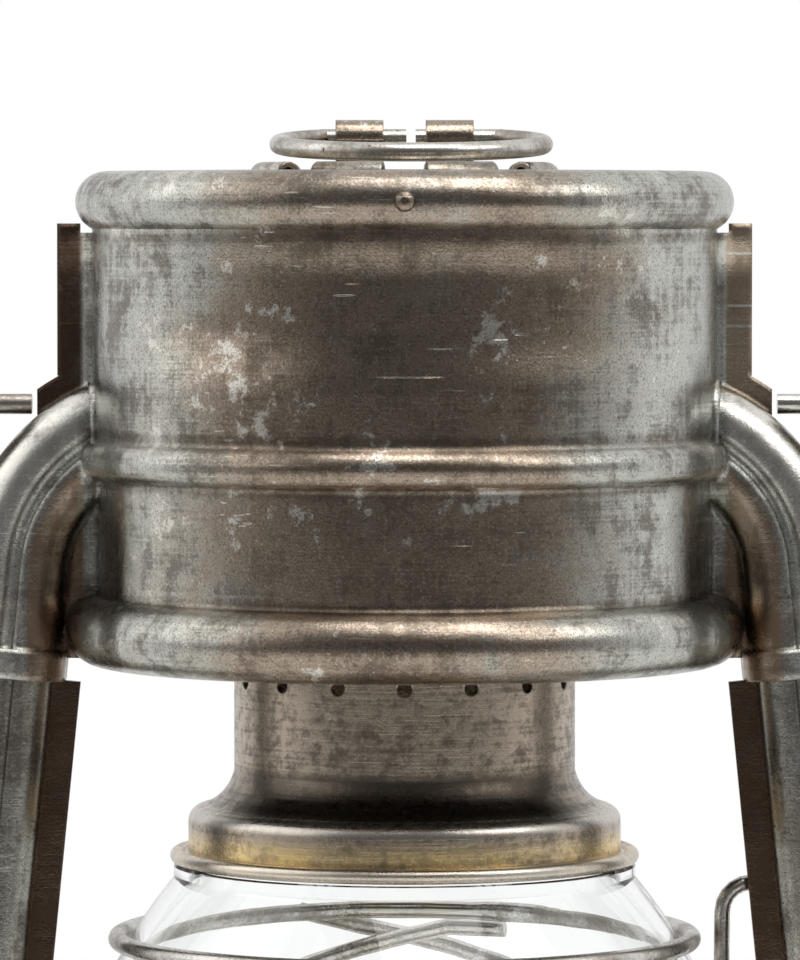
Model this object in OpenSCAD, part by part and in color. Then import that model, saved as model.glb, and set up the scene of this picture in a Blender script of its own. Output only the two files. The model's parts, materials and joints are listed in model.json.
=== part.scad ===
// Tubular hurricane lantern: tank, burner, air tubes, globe carriage, sprung chimney and pressed hood.
// Millimetres. The origin is the centre of the foot on the table, +Z up, front towards -Y, tubes along X.

/* [Sheet and clearances] */
// Thickness of the pressed sheet
sheet = 0.6; // [0.5:0.05:0.8]
// Gap of a seam or a plugged joint, each side
seam_gap = 0.05; // [0.03:0.01:0.1]
// Radial clearance of a turning pin in its bore
run_gap = 0.06; // [0.03:0.01:0.1]
// Gap between pieces that slide past each other
slide_gap = 0.4; // [0.3:0.05:0.6]
// Gap under a piece that rests loosely on its seat
seat_gap = 0.3; // [0.2:0.05:0.5]

/* [Tank] */
// Outside radius of the rolled foot
tank_r = 56; // [52:0.5:60]
// Height of the tank's top plate above the table
tank_h = 47; // [42:0.5:52]
// Radius of the rounded shoulder
tank_shoulder_r = 9; // [6:0.5:10]
// Radius of the rolled foot bead
foot_bead_r = 2.5; // [2:0.1:3]
// Depth of the flat worn on the foot bead
foot_flat = 0.3; // [0.2:0.05:0.5]
// Height of the bottom plate above the table
bottom_plate_h = 3; // [2.6:0.1:4]
// Height of the pressed bead round the tank's wall
tank_bead_h = 30; // [24:0.5:33]
// Radius of that bead's round
tank_bead_r = 1.6; // [1:0.1:2]

/* [Filler] */
// Outside radius of the filler neck
neck_r = 8.5; // [7:0.25:9]
// Height of the neck above the tank's top plate
neck_h = 6; // [5:0.25:8]
// Depth of the neck below the top plate
neck_depth = 3; // [2:0.5:5]
// Wall of the neck
neck_wall = 1; // [0.8:0.1:1.4]
// Wall of the screw cap
cap_wall = 1.2; // [1:0.1:1.5]
// Thickness of the cap's gasket
gasket_t = 1; // [0.6:0.1:1.5]
// Bearing of the filler, from +X towards +Y
filler_bearing = 225; // [215:1:240]
// Number of grips round the cap
cap_grips = 16; // [12:1:20]

/* [Air chamber] */
// Outside radius of the air chamber
chamber_r = 24.5; // [23:0.25:26]
// Height of the chamber, from the tank's top plate to its rim
chamber_h = 53.5; // [50:0.5:60]
// Radius of the chamber's rim, which carries the globe plate
rim_r = 27.5; // [26.5:0.25:28]
// Depth of the burner deck below the rim
deck_drop = 5.5; // [4:0.25:7]
// Height of the tube inlets above the tank's top plate
inlet_h = 11; // [10:0.5:14]

/* [Air tubes] */
// Width of an air tube, seen from the front
tube_w = 10.4; // [9:0.1:11]
// Depth of an air tube, front to back
tube_d = 11; // [10:0.1:12]
// Radius of the tube's long corners
tube_corner_r = 3.4; // [2.5:0.1:4]
// Radius of the groove pressed along the tube's front and back
groove_r = 1.5; // [1.2:0.1:2]
// Depth of that groove
groove_depth = 0.8; // [0.5:0.1:1]
// Width of the seam flange on the globe's side
flange_in = 3; // [2:0.1:3.4]
// Width of the seam flange on the outer side
flange_out = 2.2; // [1.5:0.1:3]
// Angle at which the tubes spread towards the tank
tube_splay = 5.7; // [4.5:0.1:6.5]
// Radius of the lower bend, at the middle of the tube
low_bend_r = 18; // [15:0.5:20]
// Length of the soldered band over the lower bend's joint
band_len = 4; // [3:0.25:6]
// Length of tube held in the hood's socket
plug_depth = 8; // [6:0.5:10]

/* [Hood] */
// Height of the hood's mouth above the chimney's foot
hood_rise = 21.7; // [20:0.1:26]
// Radius of the hood's upper wall
hood_r = 34; // [33.5:0.1:34.5]
// Radius of the hood's lower wall
hood_low_r = 33.4; // [32.8:0.1:33.6]
// Height of the hood's wall, from mouth to lid
hood_h = 47; // [44:0.5:52]
// Reach of the bead round the mouth
mouth_reach = 36.9; // [36:0.1:38]
// Radius of the mouth bead's round
mouth_bead_r = 3.8; // [3.2:0.1:4]
// Height of the middle bead above the mouth
mid_bead_h = 22.4; // [20:0.1:24]
// Reach of the middle bead
mid_reach = 35.5; // [35:0.1:36.2]
// Radius of the middle bead's round
mid_bead_r = 2.2; // [1.8:0.1:2.5]
// Distance of a shoulder's bend centre from the axis
arm_x = 25.6; // [25:0.1:27]
// Height of that centre above the mouth
arm_h = 9.6; // [9:0.1:11]
// Radius of the shoulder's bend, at the middle of the tube
arm_bend_r = 16.75; // [16:0.05:18]
// Length of the straight socket below the shoulder's bend
socket_len = 12.5; // [11:0.25:14]
// Length of the collar round the socket's mouth
collar_len = 3.2; // [2:0.1:4]
// Step of that collar
collar_step = 0.7; // [0.4:0.1:1]
// Reach of the upper seam fins
fin_reach = 37.8; // [37:0.1:39]
// Height of the fins' foot above the mouth
fin_foot_h = 31.4; // [30:0.1:33]
// Width of the fin's tail beyond the shoulder
fin_tail_w = 2.3; // [1.5:0.1:2.5]
// Reach of that tail
fin_tail_reach = 40; // [39:0.1:40.2]
// Height of the fin's outer corner above the hood's wall
fin_horn_h = 1; // [0.5:0.1:1.2]
// Radius of the roll that stiffens the wall beside the fin
seam_roll_r = 0.9; // [0.7:0.05:1]
// Radius of that roll's flared top
seam_flare_r = 1.35; // [1.1:0.05:1.5]
// Length of the flare
seam_flare_h = 3.2; // [2.5:0.1:4]

/* [Lid] */
// Radius of the lid bead's round
lid_bead_r = 3.3; // [3:0.1:3.6]
// Reach of the lid's bead
lid_reach = 35.8; // [35.6:0.1:36.2]
// Depth of the lid's top plate below the bead's crown
lid_sink = 0.5; // [0.3:0.1:1]
// Number of exhaust gills
gill_count = 8; // [6:1:10]
// Distance of the gills from the axis
gill_ring_r = 15.5; // [14:0.5:16.5]
// Radius of a gill's round
gill_r = 1.5; // [1.2:0.1:1.8]
// Share of the circle that the gills take up
gill_share = 0.62; // [0.4:0.02:0.7]
// Radius of the rivets in the lid's bead
rivet_r = 0.75; // [0.6:0.05:1]

/* [Chimney] */
// Outside radius of the chimney's tube
flue_r = 18.6; // [18:0.1:19]
// Height of the chimney, from its foot to its top
chimney_h = 46.5; // [44:0.5:50]
// Depth to which the cove's round runs into the tube
cove_blend = 0.1; // [0.05:0.01:0.2]
// Outside radius of the chimney's skirt
skirt_r = 23.6; // [23:0.1:24]
// Radius of the round at the skirt's shoulder
skirt_round = 1.6; // [1.3:0.1:2]
// Height at which the cove meets the tube, above the foot
cove_top_h = 11.2; // [10.5:0.1:13]
// Radius of the cove between the tube and the skirt
cove_r = 5.2; // [4.6:0.1:5.6]
// Reach of the rolled foot
foot_reach = 25.6; // [25.2:0.1:26]
// Radius of the rolled foot's round
foot_roll_r = 0.8; // [0.7:0.05:1]
// Height of the row of holes above the foot
vent_h = 20.2; // [18:0.1:21]
// Number of holes in the row
vent_count = 16; // [12:2:20]
// Radius of a hole
vent_r = 0.8; // [0.6:0.05:1]
// Travel of the chimney when it is lifted off the globe
chimney_lift = 8; // [6:0.5:9]
// Length of the fixed sleeve that hangs from the lid
sleeve_len = 36; // [33:0.5:38]

/* [Chimney spring] */
// Radius of the spring's coil, at the middle of the wire
coil_r = 10.5; // [9.8:0.1:12]
// Thickness of the spring's wire
coil_wire = 1.1; // [0.8:0.05:1.2]
// Number of turns
coil_turns = 5; // [4:1:5]

/* [Globe] */
// Height of the globe
globe_h = 82.3; // [78:0.1:86]
// Outside radius of the belly
belly_r = 38.7; // [37:0.1:39.2]
// Outside radius of the top rim
globe_rim_r = 25.2; // [24.8:0.1:25.4]
// Outside radius of the foot
globe_foot_r = 30; // [29:0.1:30.5]
// Height of the belly above the foot
belly_h = 43.3; // [41:0.1:46]
// Depth of the straight rim
globe_rim_h = 1.3; // [1:0.1:2]
// Thickness of the glass
glass_t = 1.6; // [1.2:0.1:2]

/* [Globe carriage] */
// Radius of the globe plate
plate_r = 34.2; // [34:0.1:35]
// Thickness of the globe plate
plate_t = 1.2; // [1:0.1:1.6]
// Height of the lip round the globe's foot
lip_h = 4; // [3:0.25:5]
// Number of air holes in the globe plate
plate_holes = 20; // [16:1:24]
// Radius of such a hole
plate_hole_r = 1.5; // [1:0.1:1.8]
// Travel of the carriage when the lever lifts it
carriage_lift = 12; // [10:0.5:13]

/* [Guard] */
// Thickness of the guard's wire
guard_wire = 2; // [1.6:0.1:2.2]
// Depth of the guard's ring below the globe's rim
guard_ring_drop = 8; // [7:0.1:9]
// Depth at which the wires cross below the ring
guard_cross_drop = 3.3; // [2.5:0.1:4.5]
// Bearing of the wires' feet, from the middle of each side
guard_spread = 70; // [60:1:75]
// Bearing over which a wire's end lies along the ring
guard_tail = 12; // [8:1:16]
// Thickness of the hook wire
hook_wire = 1.7; // [1.4:0.1:2]
// Height of the hook above the guard's ring
hook_rise = 5.8; // [5:0.1:6.5]

/* [Burner] */
// Width of the wick
wick_w = 14; // [12:0.5:16]
// Thickness of the wick
wick_t = 2; // [1.6:0.1:2.4]
// Wall of the wick tube
wick_tube_wall = 0.8; // [0.6:0.1:1]
// Gap round the wick
wick_gap = 0.5; // [0.4:0.05:0.6]
// Height of the wick tube above the chamber's rim
wick_tube_rise = 7.5; // [6:0.25:9]
// Radius of the burner's cone at its foot
cone_r = 16; // [14.5:0.25:16.5]
// Height of the cone's straight foot
cone_foot_h = 4; // [3:0.25:6]
// Radius of the wick shaft
shaft_r = 1.5; // [1.2:0.1:1.8]
// Height of the wick shaft above the tank's top plate
shaft_h = 36; // [33:0.5:38]
// Radius of the toothed wick wheels
wheel_r = 3.2; // [2.8:0.1:3.6]
// Radius of the wick knob
knob_r = 8; // [6:0.25:9]
// Distance of the knob from the axis
knob_reach = 44; // [40:0.5:48]

/* [Lift lever] */
// Radius of the lever's pivot pin
pivot_r = 1.6; // [1.3:0.1:2]
// Reach of the lever's finger from the axis
finger_reach = 30.5; // [30.3:0.1:31]
// Radius of the lever's finger
finger_r = 1; // [0.8:0.05:1.2]
// Thickness of the lever's strip
lever_t = 1.4; // [1.2:0.1:1.8]
// Length of the lever beyond its pivot
thumb_len = 15; // [12:0.5:16]

/* [Bail] */
// Radius of the bail's bow, at the middle of the wire
bail_r = 73.9; // [70:0.5:78]
// Thickness of the bail's wire
bail_wire = 2.2; // [2:0.1:2.6]
// Straight length at each side of the bail
bail_side = 20; // [14:0.5:24]
// Radius of the bail's corner bends
bail_corner_r = 6; // [5:0.25:8]
// Height of the bail's pivots above the hood's mouth
bail_pivot_h = 28.3; // [28.2:0.1:30]
// Distance of the ears from the axis
ear_x = 46; // [45.5:0.1:47]
// Radius of the ears' round tops
ear_r = 4; // [3.2:0.1:5]
// Lean of the hanging bail from upright
bail_lean = 26; // [26:0.5:32]

/* [Lift ring] */
// Thickness of the ring's wire
ring_wire = 2; // [1.6:0.1:2.2]
// Radius of the ring, at the middle of the wire
ring_r = 14.2; // [13.5:0.1:15]
// Half the ring's width at its pivots
ring_half_w = 9.4; // [9.2:0.1:10]
// Height of the ring's pivots above the lid's crown
ring_pivot_h = 3.6; // [3.5:0.1:4.5]
// Tilt of the lying ring
ring_tilt = 4; // [3.5:0.1:5]
// Sideways rest of the ring in its lugs
ring_shift = 0.7; // [0:0.1:0.8]
// Outside radius of the rolled lugs
lug_r = 2; // [1.9:0.1:2.2]
// Distance of a lug's near end from the axis
lug_near = 2.3; // [2:0.1:2.6]
// Length of a lug
lug_len = 5.2; // [4.8:0.1:5.6]

/* [Hidden] */
$fn = 64;
wire_fn = 24;
hole_fn = 20;
big = 400;
eps = 0.5;

// Levels, from the table up
plate_z = tank_h + chamber_h;
globe_z = plate_z + plate_t;
globe_top = globe_z + globe_h;
chimney_z = globe_top + seat_gap;
chimney_top = chimney_z + chimney_h;
hood_z = chimney_z + hood_rise;
wall_top = hood_z + hood_h;
lid_bead_z = wall_top + lid_bead_r;
lid_crown = lid_bead_z + lid_bead_r;
lid_top = lid_crown - lid_sink;
lid_under = lid_top - sheet;
ring_pivot_z = lid_crown + ring_pivot_h;
bail_pivot_z = hood_z + bail_pivot_h;
inlet_z = tank_h + inlet_h;
shaft_z = tank_h + shaft_h;
deck_z = plate_z - deck_drop;

// Tank
tank_wall_r = tank_r - sheet;
tank_top_r = tank_wall_r - tank_shoulder_r;
foot_bead_z = foot_bead_r - foot_flat;
foot_bead_x = tank_r - foot_bead_r;
tank_wall_z = foot_bead_z + foot_bead_r;
collar_in_r = wick_w / 2 + 4;
collar_out_r = collar_in_r + 4;
collar_rise = 5;

// Filler
cap_in_r = neck_r + run_gap;
cap_r = cap_in_r + cap_wall;
cap_grip_r = 0.9;
filler_dist = chamber_r + cap_r + 3;
cap_skirt_gap = 1.2;
neck_top = tank_h + neck_h;
gasket_z = neck_top + seam_gap;
cap_under = gasket_z + gasket_t + seam_gap;

// Air tube path in the XZ plane
inlet_end = chamber_r - sheet - 0.8;
arm_z = hood_z + arm_h;
arm_end_x = arm_x + arm_bend_r * cos(tube_splay);
arm_end_z = arm_z + arm_bend_r * sin(tube_splay);
low_bend_z = inlet_z + low_bend_r;
low_end_z = low_bend_z + low_bend_r * sin(tube_splay);
run_len = (arm_end_z - low_end_z) / cos(tube_splay);
low_end_x = arm_end_x + run_len * sin(tube_splay);
low_bend_x = low_end_x - low_bend_r * cos(tube_splay);
flange_t = 2 * sheet;
joint_gap = 0.2;
joint_turn = 0.6;
socket_grow = seam_gap + sheet;
tube_top_len = run_len - socket_len + plug_depth;
tube_flange_len = run_len - socket_len - seam_gap;

// Hood
mouth_x = mouth_reach - mouth_bead_r;
mouth_bead_z = hood_z + mouth_bead_r;
mid_x = mid_reach - mid_bead_r;
mid_z = hood_z + mid_bead_h;
curl_r = mouth_x - mouth_bead_r * 0.7;
lid_bead_x = lid_reach - lid_bead_r;
wall_plug = lid_bead_r;
web_foot_z = hood_z + 0.6;
fin_foot_z = hood_z + fin_foot_h;
fin_top = wall_top - seam_gap;
fin_tail_z = bail_pivot_z - 2.4;
seam_root_r = hood_low_r - 2;
web_top_z = arm_end_z + 8;
fin_horn_x = hood_r + seam_roll_r + slide_gap;
seam_roll_x = hood_r + 0.3;
seam_roll_foot = fin_foot_z - 3;
seam_flare_z = fin_top - seam_flare_h;

// Chimney
skirt_z = chimney_z + 2 * foot_roll_r;
foot_x = foot_reach - foot_roll_r;
foot_z = chimney_z + foot_roll_r;
cove_x = skirt_r - skirt_round;
cove_mid_x = flue_r - cove_blend + cove_r;
cove_z = chimney_z + cove_top_h;
cove_drop = sqrt(cove_r * cove_r - pow(cove_mid_x - cove_x, 2));
skirt_top = cove_z - cove_drop - seam_gap;
skirt_round_z = skirt_top - skirt_round;
vent_z = chimney_z + vent_h;
flue_in_r = flue_r - sheet;
sleeve_in_r = flue_r + slide_gap;
bridge_t = 0.8;
bridge_w = 7;
bridge_z = chimney_top - 2;
lug_strap_t = 0.8;
slot_gap = 0.5;

// Globe: one arc through the belly and the rim's foot
globe_arc_dz = globe_h - globe_rim_h - belly_h;
globe_arc_dr = belly_r - globe_rim_r;
globe_arc_r = (globe_arc_dr * globe_arc_dr + globe_arc_dz * globe_arc_dz) / (2 * globe_arc_dr);
globe_arc_x = belly_r - globe_arc_r;
belly_z = globe_z + belly_h;

// Carriage and guard
lip_in_r = globe_foot_r + slide_gap;
lip_out_r = lip_in_r + sheet;
guard_gap = 0.4;
guard_clear = 0.4;
guard_r = guard_wire / 2;
guard_foot_r = lip_out_r + guard_gap + guard_r;
guard_ring_z = globe_top - guard_ring_drop;
guard_ring_r = globe_at(guard_ring_z) + guard_gap + guard_r;
guard_cross_z = guard_ring_z - guard_cross_drop;
guard_fall = 10;
guard_fade = 3;
guard_head_z = guard_ring_z - guard_wire - seam_gap;
wire_sides = 8;
wire_steps = 22;
tail_steps = 3;
hook_r = hook_wire / 2;
hook_y = flange_t / 2 + hook_r + slide_gap;
hook_z = guard_ring_z + hook_rise;
hook_x = guard_ring_r + guard_r + hook_r + 1.6;
hook_out = arm_end_x + (arm_end_z - hook_z) * tan(tube_splay) - tube_w / 2 - hook_r - 1.9;

// Burner
wick_tube_w = wick_w + 2 * (wick_gap + wick_tube_wall);
wick_tube_t = wick_t + 2 * (wick_gap + wick_tube_wall);
wick_tube_top = plate_z + wick_tube_rise;
wick_foot_z = bottom_plate_h + sheet + 7;
shaft_x = wick_t / 2 + wheel_r + slide_gap;
wheel_t = 1.4;
wheel_y = wick_w / 4;
bracket_t = 2;
bracket_y = wick_tube_w / 2 + 1;
shaft_back_y = bracket_y + bracket_t + 1;
burner_base_z = tank_h + collar_rise;
burner_base_t = 1;
deck_hole_r = wick_tube_w / 2 + 2;
cone_z = deck_z + sheet;
dome_z = cone_z + cone_foot_h;

// Lever
finger_z = plate_z - seat_gap - finger_r;
pivot_z = finger_z + carriage_lift / 2;
pivot_x = arm_end_x + (arm_end_z - pivot_z) * tan(tube_splay);
lever_y = tube_d / 2 + 1.4;
lever_turn = 2 * atan(carriage_lift / 2 / (pivot_x - finger_reach));
finger_in = 6;

// Radius of the globe's outside at height z
function globe_at(z) =
    z > globe_top - globe_rim_h ? globe_rim_r
    : max(z < belly_z ? globe_foot_r : 0,
          globe_arc_x + sqrt(max(0, globe_arc_r * globe_arc_r - (z - belly_z) * (z - belly_z))));

// Unit vector of v
function unit(v) = v / norm(v);

// Direction of a path at point i
function heading(path, i) =
    unit(path[min(i + 1, len(path) - 1)] - path[max(i - 1, 0)]);

// One ring of a swept wire: sides points round point i, with up as a reference direction
function wire_ring(path, i, r, sides, up) =
    let (t = heading(path, i), a = unit(cross(up, t)), b = cross(t, a))
    [for (k = [0:sides - 1]) path[i] + r * (cos(360 * k / sides) * a + sin(360 * k / sides) * b)];

// A wire of radius r swept along a path, as one closed tube
module wire(path, r, sides, up) {
    n = len(path);
    points = [for (i = [0:n - 1]) each wire_ring(path, i, r, sides, up)];
    walls = [for (i = [0:n - 2], k = [0:sides - 1])
        let (a = i * sides + k, b = i * sides + (k + 1) % sides)
        each [[a, b, a + sides], [b, b + sides, a + sides]]];
    foot = [for (k = [1:sides - 2]) [0, k + 1, k]];
    head = [for (k = [1:sides - 2]) let (m = (n - 1) * sides) [m, m + k, m + k + 1]];
    polyhedron(points = points, faces = concat(walls, foot, head));
}

// A 2D box from (x0, y0) to (x1, y1)
module span(x0, y0, x1, y1) {
    translate([x0, y0])
        square([x1 - x0, y1 - y0]);
}

// A 2D rectangle with round corners, about the origin
module rounded(w, h, r) {
    square([w - 2 * r, h], center = true);
    square([w, h - 2 * r], center = true);
    for (sx = [-1, 1], sy = [-1, 1])
        translate([sx * (w / 2 - r), sy * (h / 2 - r)])
            circle(r);
}

// A flat link between two round ends
module link(p, q, rp, rq) {
    d = unit(q - p);
    s = [-d[1], d[0]];
    polygon([p + rp * s, q + rq * s, q - rq * s, p - rp * s]);
    translate(p)
        circle(rp);
    translate(q)
        circle(rq);
}

// The air tube's outline, grown by g all round: X points away from the bend's centre
module tube_outline(g) {
    difference() {
        rounded(tube_w + 2 * g, tube_d + 2 * g, tube_corner_r + g);
        for (s = [-1, 1])
            translate([0, s * (tube_d / 2 - groove_depth + groove_r)])
                circle(groove_r - g);
    }
}

// The tube's seam flanges in the plane of the seam
module flange_outline() {
    span(-tube_w / 2 - flange_in, -flange_t / 2, tube_w / 2 + flange_out, flange_t / 2);
}

// The frame at the lower end of a right-hand tube's straight run, with Z up along the tube
module run_frame() {
    translate([low_bend_x, 0, low_bend_z])
        rotate([0, -tube_splay, 0])
            translate([low_bend_r, 0, 0])
                children();
}

// The frame of a right-hand shoulder's bend, turned the same way: X points away from its centre
module shoulder_frame() {
    translate([arm_x, 0, arm_z])
        rotate([0, -tube_splay, 0])
            children();
}

// Revolves a 2D outline about the Y axis, from one angle above X to another
module bend(from, to) {
    rotate([90, 0, 0])
        rotate([0, 0, from])
            rotate_extrude(angle = to - from)
                children();
}

// The lower bend of a right-hand tube
module low_bend() {
    translate([low_bend_x, 0, low_bend_z])
        bend(-90, tube_splay - joint_turn)
            translate([low_bend_r, 0])
                children();
}

// The soldered band over the joint of the lower bend and the straight run
module elbow_band() {
    run_frame()
        translate([0, 0, -band_len / 2])
            linear_extrude(band_len)
                tube_outline(collar_step);
}

// The level run of a right-hand tube, from x to the lower bend
module inlet_run(x) {
    translate([x, 0, inlet_z])
        rotate([0, 90, 0])
            linear_extrude(low_bend_x - x)
                children();
}

// The inside of a right-hand air tube, open at both ends
module tube_bore() {
    run_frame()
        translate([0, 0, joint_gap])
            linear_extrude(run_len)
                tube_outline(-sheet);
    run_frame()
        translate([0, 0, -band_len / 4])
            linear_extrude(band_len / 2)
                tube_outline(seam_gap - sheet);
    low_bend()
        tube_outline(-sheet);
    inlet_run(inlet_end - eps)
        tube_outline(-sheet);
}

// A right-hand air tube with its seam flanges
module air_tube() {
    difference() {
        union() {
            run_frame()
                translate([0, 0, joint_gap]) {
                    linear_extrude(tube_top_len - joint_gap)
                        tube_outline(0);
                    linear_extrude(tube_flange_len - joint_gap)
                        flange_outline();
                }
            elbow_band();
            low_bend()
                union() {
                    tube_outline(0);
                    flange_outline();
                }
            inlet_run(inlet_end)
                tube_outline(0);
            inlet_run(chamber_r + slide_gap)
                flange_outline();
        }
        tube_bore();
    }
}

// A right-hand shoulder of the hood, grown by g: bend and straight socket
module shoulder(g, foot) {
    shoulder_frame() {
        bend(0, 90 - tube_splay)
            translate([arm_bend_r, 0])
                tube_outline(g);
        translate([arm_bend_r, 0, -socket_len - foot])
            linear_extrude(socket_len + foot)
                tube_outline(g);
    }
}

// The collar round the socket's mouth
module socket_collar() {
    shoulder_frame()
        translate([arm_bend_r, 0, -socket_len])
            linear_extrude(collar_len)
                tube_outline(socket_grow + collar_step);
}

// The seam sheet of one side: fin, tail beside the shoulder, and web
module seam_outline() {
    span(seam_root_r, fin_foot_z, fin_reach, fin_top);
    span(fin_horn_x, fin_foot_z, fin_reach, fin_top + fin_horn_h);
    intersection() {
        translate([arm_x, arm_z])
            circle(arm_bend_r + tube_w / 2 + socket_grow + fin_tail_w);
        span(seam_root_r, fin_tail_z, fin_tail_reach, fin_foot_z + eps);
    }
    span(seam_root_r, web_foot_z, arm_end_x, web_top_z);
}

// The upright roll at a right-hand fin's root, flared below the lid
module seam_roll() {
    translate([seam_roll_x, 0, 0])
        rotate_extrude()
            polygon([
                [0, seam_roll_foot],
                [seam_roll_r, seam_roll_foot],
                [seam_roll_r, seam_flare_z],
                [seam_flare_r, fin_top],
                [0, fin_top]
            ]);
}

// The hood's drum filled to its outside
module drum_outline() {
    span(0, mid_z, hood_r, wall_top + wall_plug);
    span(0, mouth_bead_z, hood_low_r, mid_z);
    translate([mid_x, mid_z])
        circle(mid_bead_r);
    translate([mouth_x, mouth_bead_z])
        circle(mouth_bead_r);
}

// The drum's inside
module drum_bore_outline() {
    span(0, mid_z, hood_r - sheet, wall_top + wall_plug + eps);
    span(0, mouth_bead_z, hood_low_r - sheet, mid_z);
    translate([mid_x, mid_z])
        circle(mid_bead_r - sheet);
    translate([mouth_x, mouth_bead_z])
        circle(mouth_bead_r - sheet);
    span(0, hood_z - eps, curl_r, mouth_bead_z);
}

// The whole hood before it is parted at the seam
module hood() {
    difference() {
        union() {
            rotate_extrude()
                drum_outline();
            for (m = [0, 1])
                mirror([m, 0, 0]) {
                    shoulder(socket_grow, 0);
                    socket_collar();
                    seam_roll();
                    translate([0, flange_t / 2, 0])
                        rotate([90, 0, 0])
                            linear_extrude(flange_t)
                                seam_outline();
                }
        }
        rotate_extrude()
            drum_bore_outline();
        for (m = [0, 1])
            mirror([m, 0, 0])
                shoulder(seam_gap, eps);
    }
}

// One pressed half of the hood, on the side of s
module hood_half(s) {
    intersection() {
        hood();
        translate([-big / 2, s < 0 ? -big : 0, 0])
            cube([big, big, big]);
    }
}

module tank_shell() {
    color("slategray")
        rotate_extrude()
            difference() {
                union() {
                    span(tank_top_r, tank_wall_z, tank_wall_r, tank_h - tank_shoulder_r);
                    translate([tank_top_r, tank_h - tank_shoulder_r])
                        circle(tank_shoulder_r);
                    translate([tank_r - tank_bead_r, tank_bead_h])
                        circle(tank_bead_r);
                }
                span(-eps, 0, tank_wall_r - sheet, tank_h - tank_shoulder_r);
                translate([tank_top_r, tank_h - tank_shoulder_r])
                    circle(tank_shoulder_r - sheet);
                span(-eps, 0, tank_top_r, tank_h + eps);
            }
}

module tank_top() {
    color("slategray")
        difference() {
            translate([0, 0, tank_h - sheet])
                cylinder(r = tank_top_r - seam_gap, h = sheet);
            translate([0, 0, tank_h - sheet - eps])
                cylinder(r = collar_out_r + seam_gap, h = sheet + 2 * eps);
            rotate([0, 0, filler_bearing])
                translate([filler_dist, 0, tank_h - sheet - eps])
                    cylinder(r = neck_r + seam_gap, h = sheet + 2 * eps);
        }
}

module tank_bottom() {
    inside_r = tank_wall_r - sheet - seam_gap;
    color("dimgray")
        rotate_extrude()
            difference() {
                union() {
                    span(0, bottom_plate_h, inside_r, bottom_plate_h + sheet);
                    span(inside_r - sheet, bottom_plate_h, inside_r, tank_wall_z + 4);
                    difference() {
                        translate([foot_bead_x, foot_bead_z])
                            circle(foot_bead_r);
                        span(0, bottom_plate_h + sheet, inside_r - sheet, big);
                    }
                }
                span(0, -big, big, 0);
            }
}

module filler_neck() {
    color("darkgray")
        rotate([0, 0, filler_bearing])
            translate([filler_dist, 0, tank_h])
                difference() {
                    union() {
                        translate([0, 0, -neck_depth])
                            cylinder(r = neck_r, h = neck_depth + neck_h);
                        cylinder(r = neck_r + 1, h = sheet);
                    }
                    translate([0, 0, -neck_depth - eps])
                        cylinder(r = neck_r - neck_wall, h = neck_depth + neck_h + 2 * eps);
                }
}

module filler_cap() {
    skirt_z = tank_h + cap_skirt_gap;
    color("gray")
        rotate([0, 0, filler_bearing])
            translate([filler_dist, 0, 0])
                difference() {
                    union() {
                        translate([0, 0, skirt_z])
                            cylinder(r = cap_r, h = cap_under + cap_wall - skirt_z);
                        translate([0, 0, cap_under + cap_wall])
                            cylinder(r1 = cap_r - 0.8, r2 = cap_r - 2.4, h = 0.8);
                    }
                    translate([0, 0, skirt_z - eps])
                        cylinder(r = cap_in_r, h = cap_under - skirt_z + eps);
                    for (k = [0:cap_grips - 1])
                        rotate([0, 0, 360 * k / cap_grips])
                            translate([cap_r + cap_grip_r / 2, 0, skirt_z - eps])
                                cylinder(r = cap_grip_r, h = cap_under - skirt_z + eps, $fn = hole_fn);
                }
}

module cap_gasket() {
    color("black")
        rotate([0, 0, filler_bearing])
            translate([filler_dist, 0, gasket_z])
                cylinder(r = cap_in_r - seat_gap, h = gasket_t);
}

module burner_collar() {
    color("goldenrod")
        difference() {
            union() {
                translate([0, 0, tank_h - 2])
                    cylinder(r = collar_out_r, h = collar_rise + 2);
                translate([0, 0, tank_h])
                    cylinder(r = collar_out_r + 1, h = 1);
            }
            translate([0, 0, tank_h - 2 - eps])
                cylinder(r = collar_in_r, h = collar_rise + 2 + 2 * eps);
        }
}

module air_chamber() {
    flange_r = chamber_r + 1.6;
    color("slategray")
        difference() {
            rotate_extrude()
                union() {
                    span(chamber_r - sheet, tank_h, chamber_r, plate_z);
                    span(chamber_r - sheet, tank_h, flange_r, tank_h + sheet);
                    span(chamber_r - sheet, plate_z - sheet, rim_r, plate_z);
                }
            for (m = [0, 1])
                mirror([m, 0, 0])
                    translate([chamber_r / 2, 0, inlet_z])
                        rotate([0, 90, 0])
                            linear_extrude(chamber_r)
                                tube_outline(seam_gap);
            translate([shaft_x, 0, shaft_z])
                rotate([90, 0, 0])
                    cylinder(r = shaft_r + run_gap, h = chamber_r + 2);
        }
}

module burner_deck() {
    deck_r = chamber_r - sheet - seam_gap;
    hole_ring_r = (cone_r + deck_r) / 2;
    lip_h = 3;
    holes = 18;
    hole_r = 1.2;
    color("darkgoldenrod")
        difference() {
            union() {
                translate([0, 0, deck_z])
                    cylinder(r = deck_r, h = sheet);
                translate([0, 0, deck_z - lip_h])
                    cylinder(r = deck_r, h = lip_h);
            }
            translate([0, 0, deck_z - lip_h - eps])
                cylinder(r = deck_hole_r, h = lip_h + sheet + 2 * eps);
            translate([0, 0, deck_z - lip_h - eps])
                cylinder(r = deck_r - sheet, h = lip_h + eps);
            for (k = [0:holes - 1])
                rotate([0, 0, 360 * k / holes])
                    translate([hole_ring_r, 0, deck_z - eps])
                        cylinder(r = hole_r, h = sheet + 2 * eps, $fn = hole_fn);
        }
}

module air_tube_left() {
    color("slategray")
        mirror([1, 0, 0])
            air_tube();
}

module air_tube_right() {
    color("slategray")
        air_tube();
}

module hood_front() {
    color("gray")
        hood_half(-1);
}

module hood_rear() {
    color("gray")
        hood_half(1);
}

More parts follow.
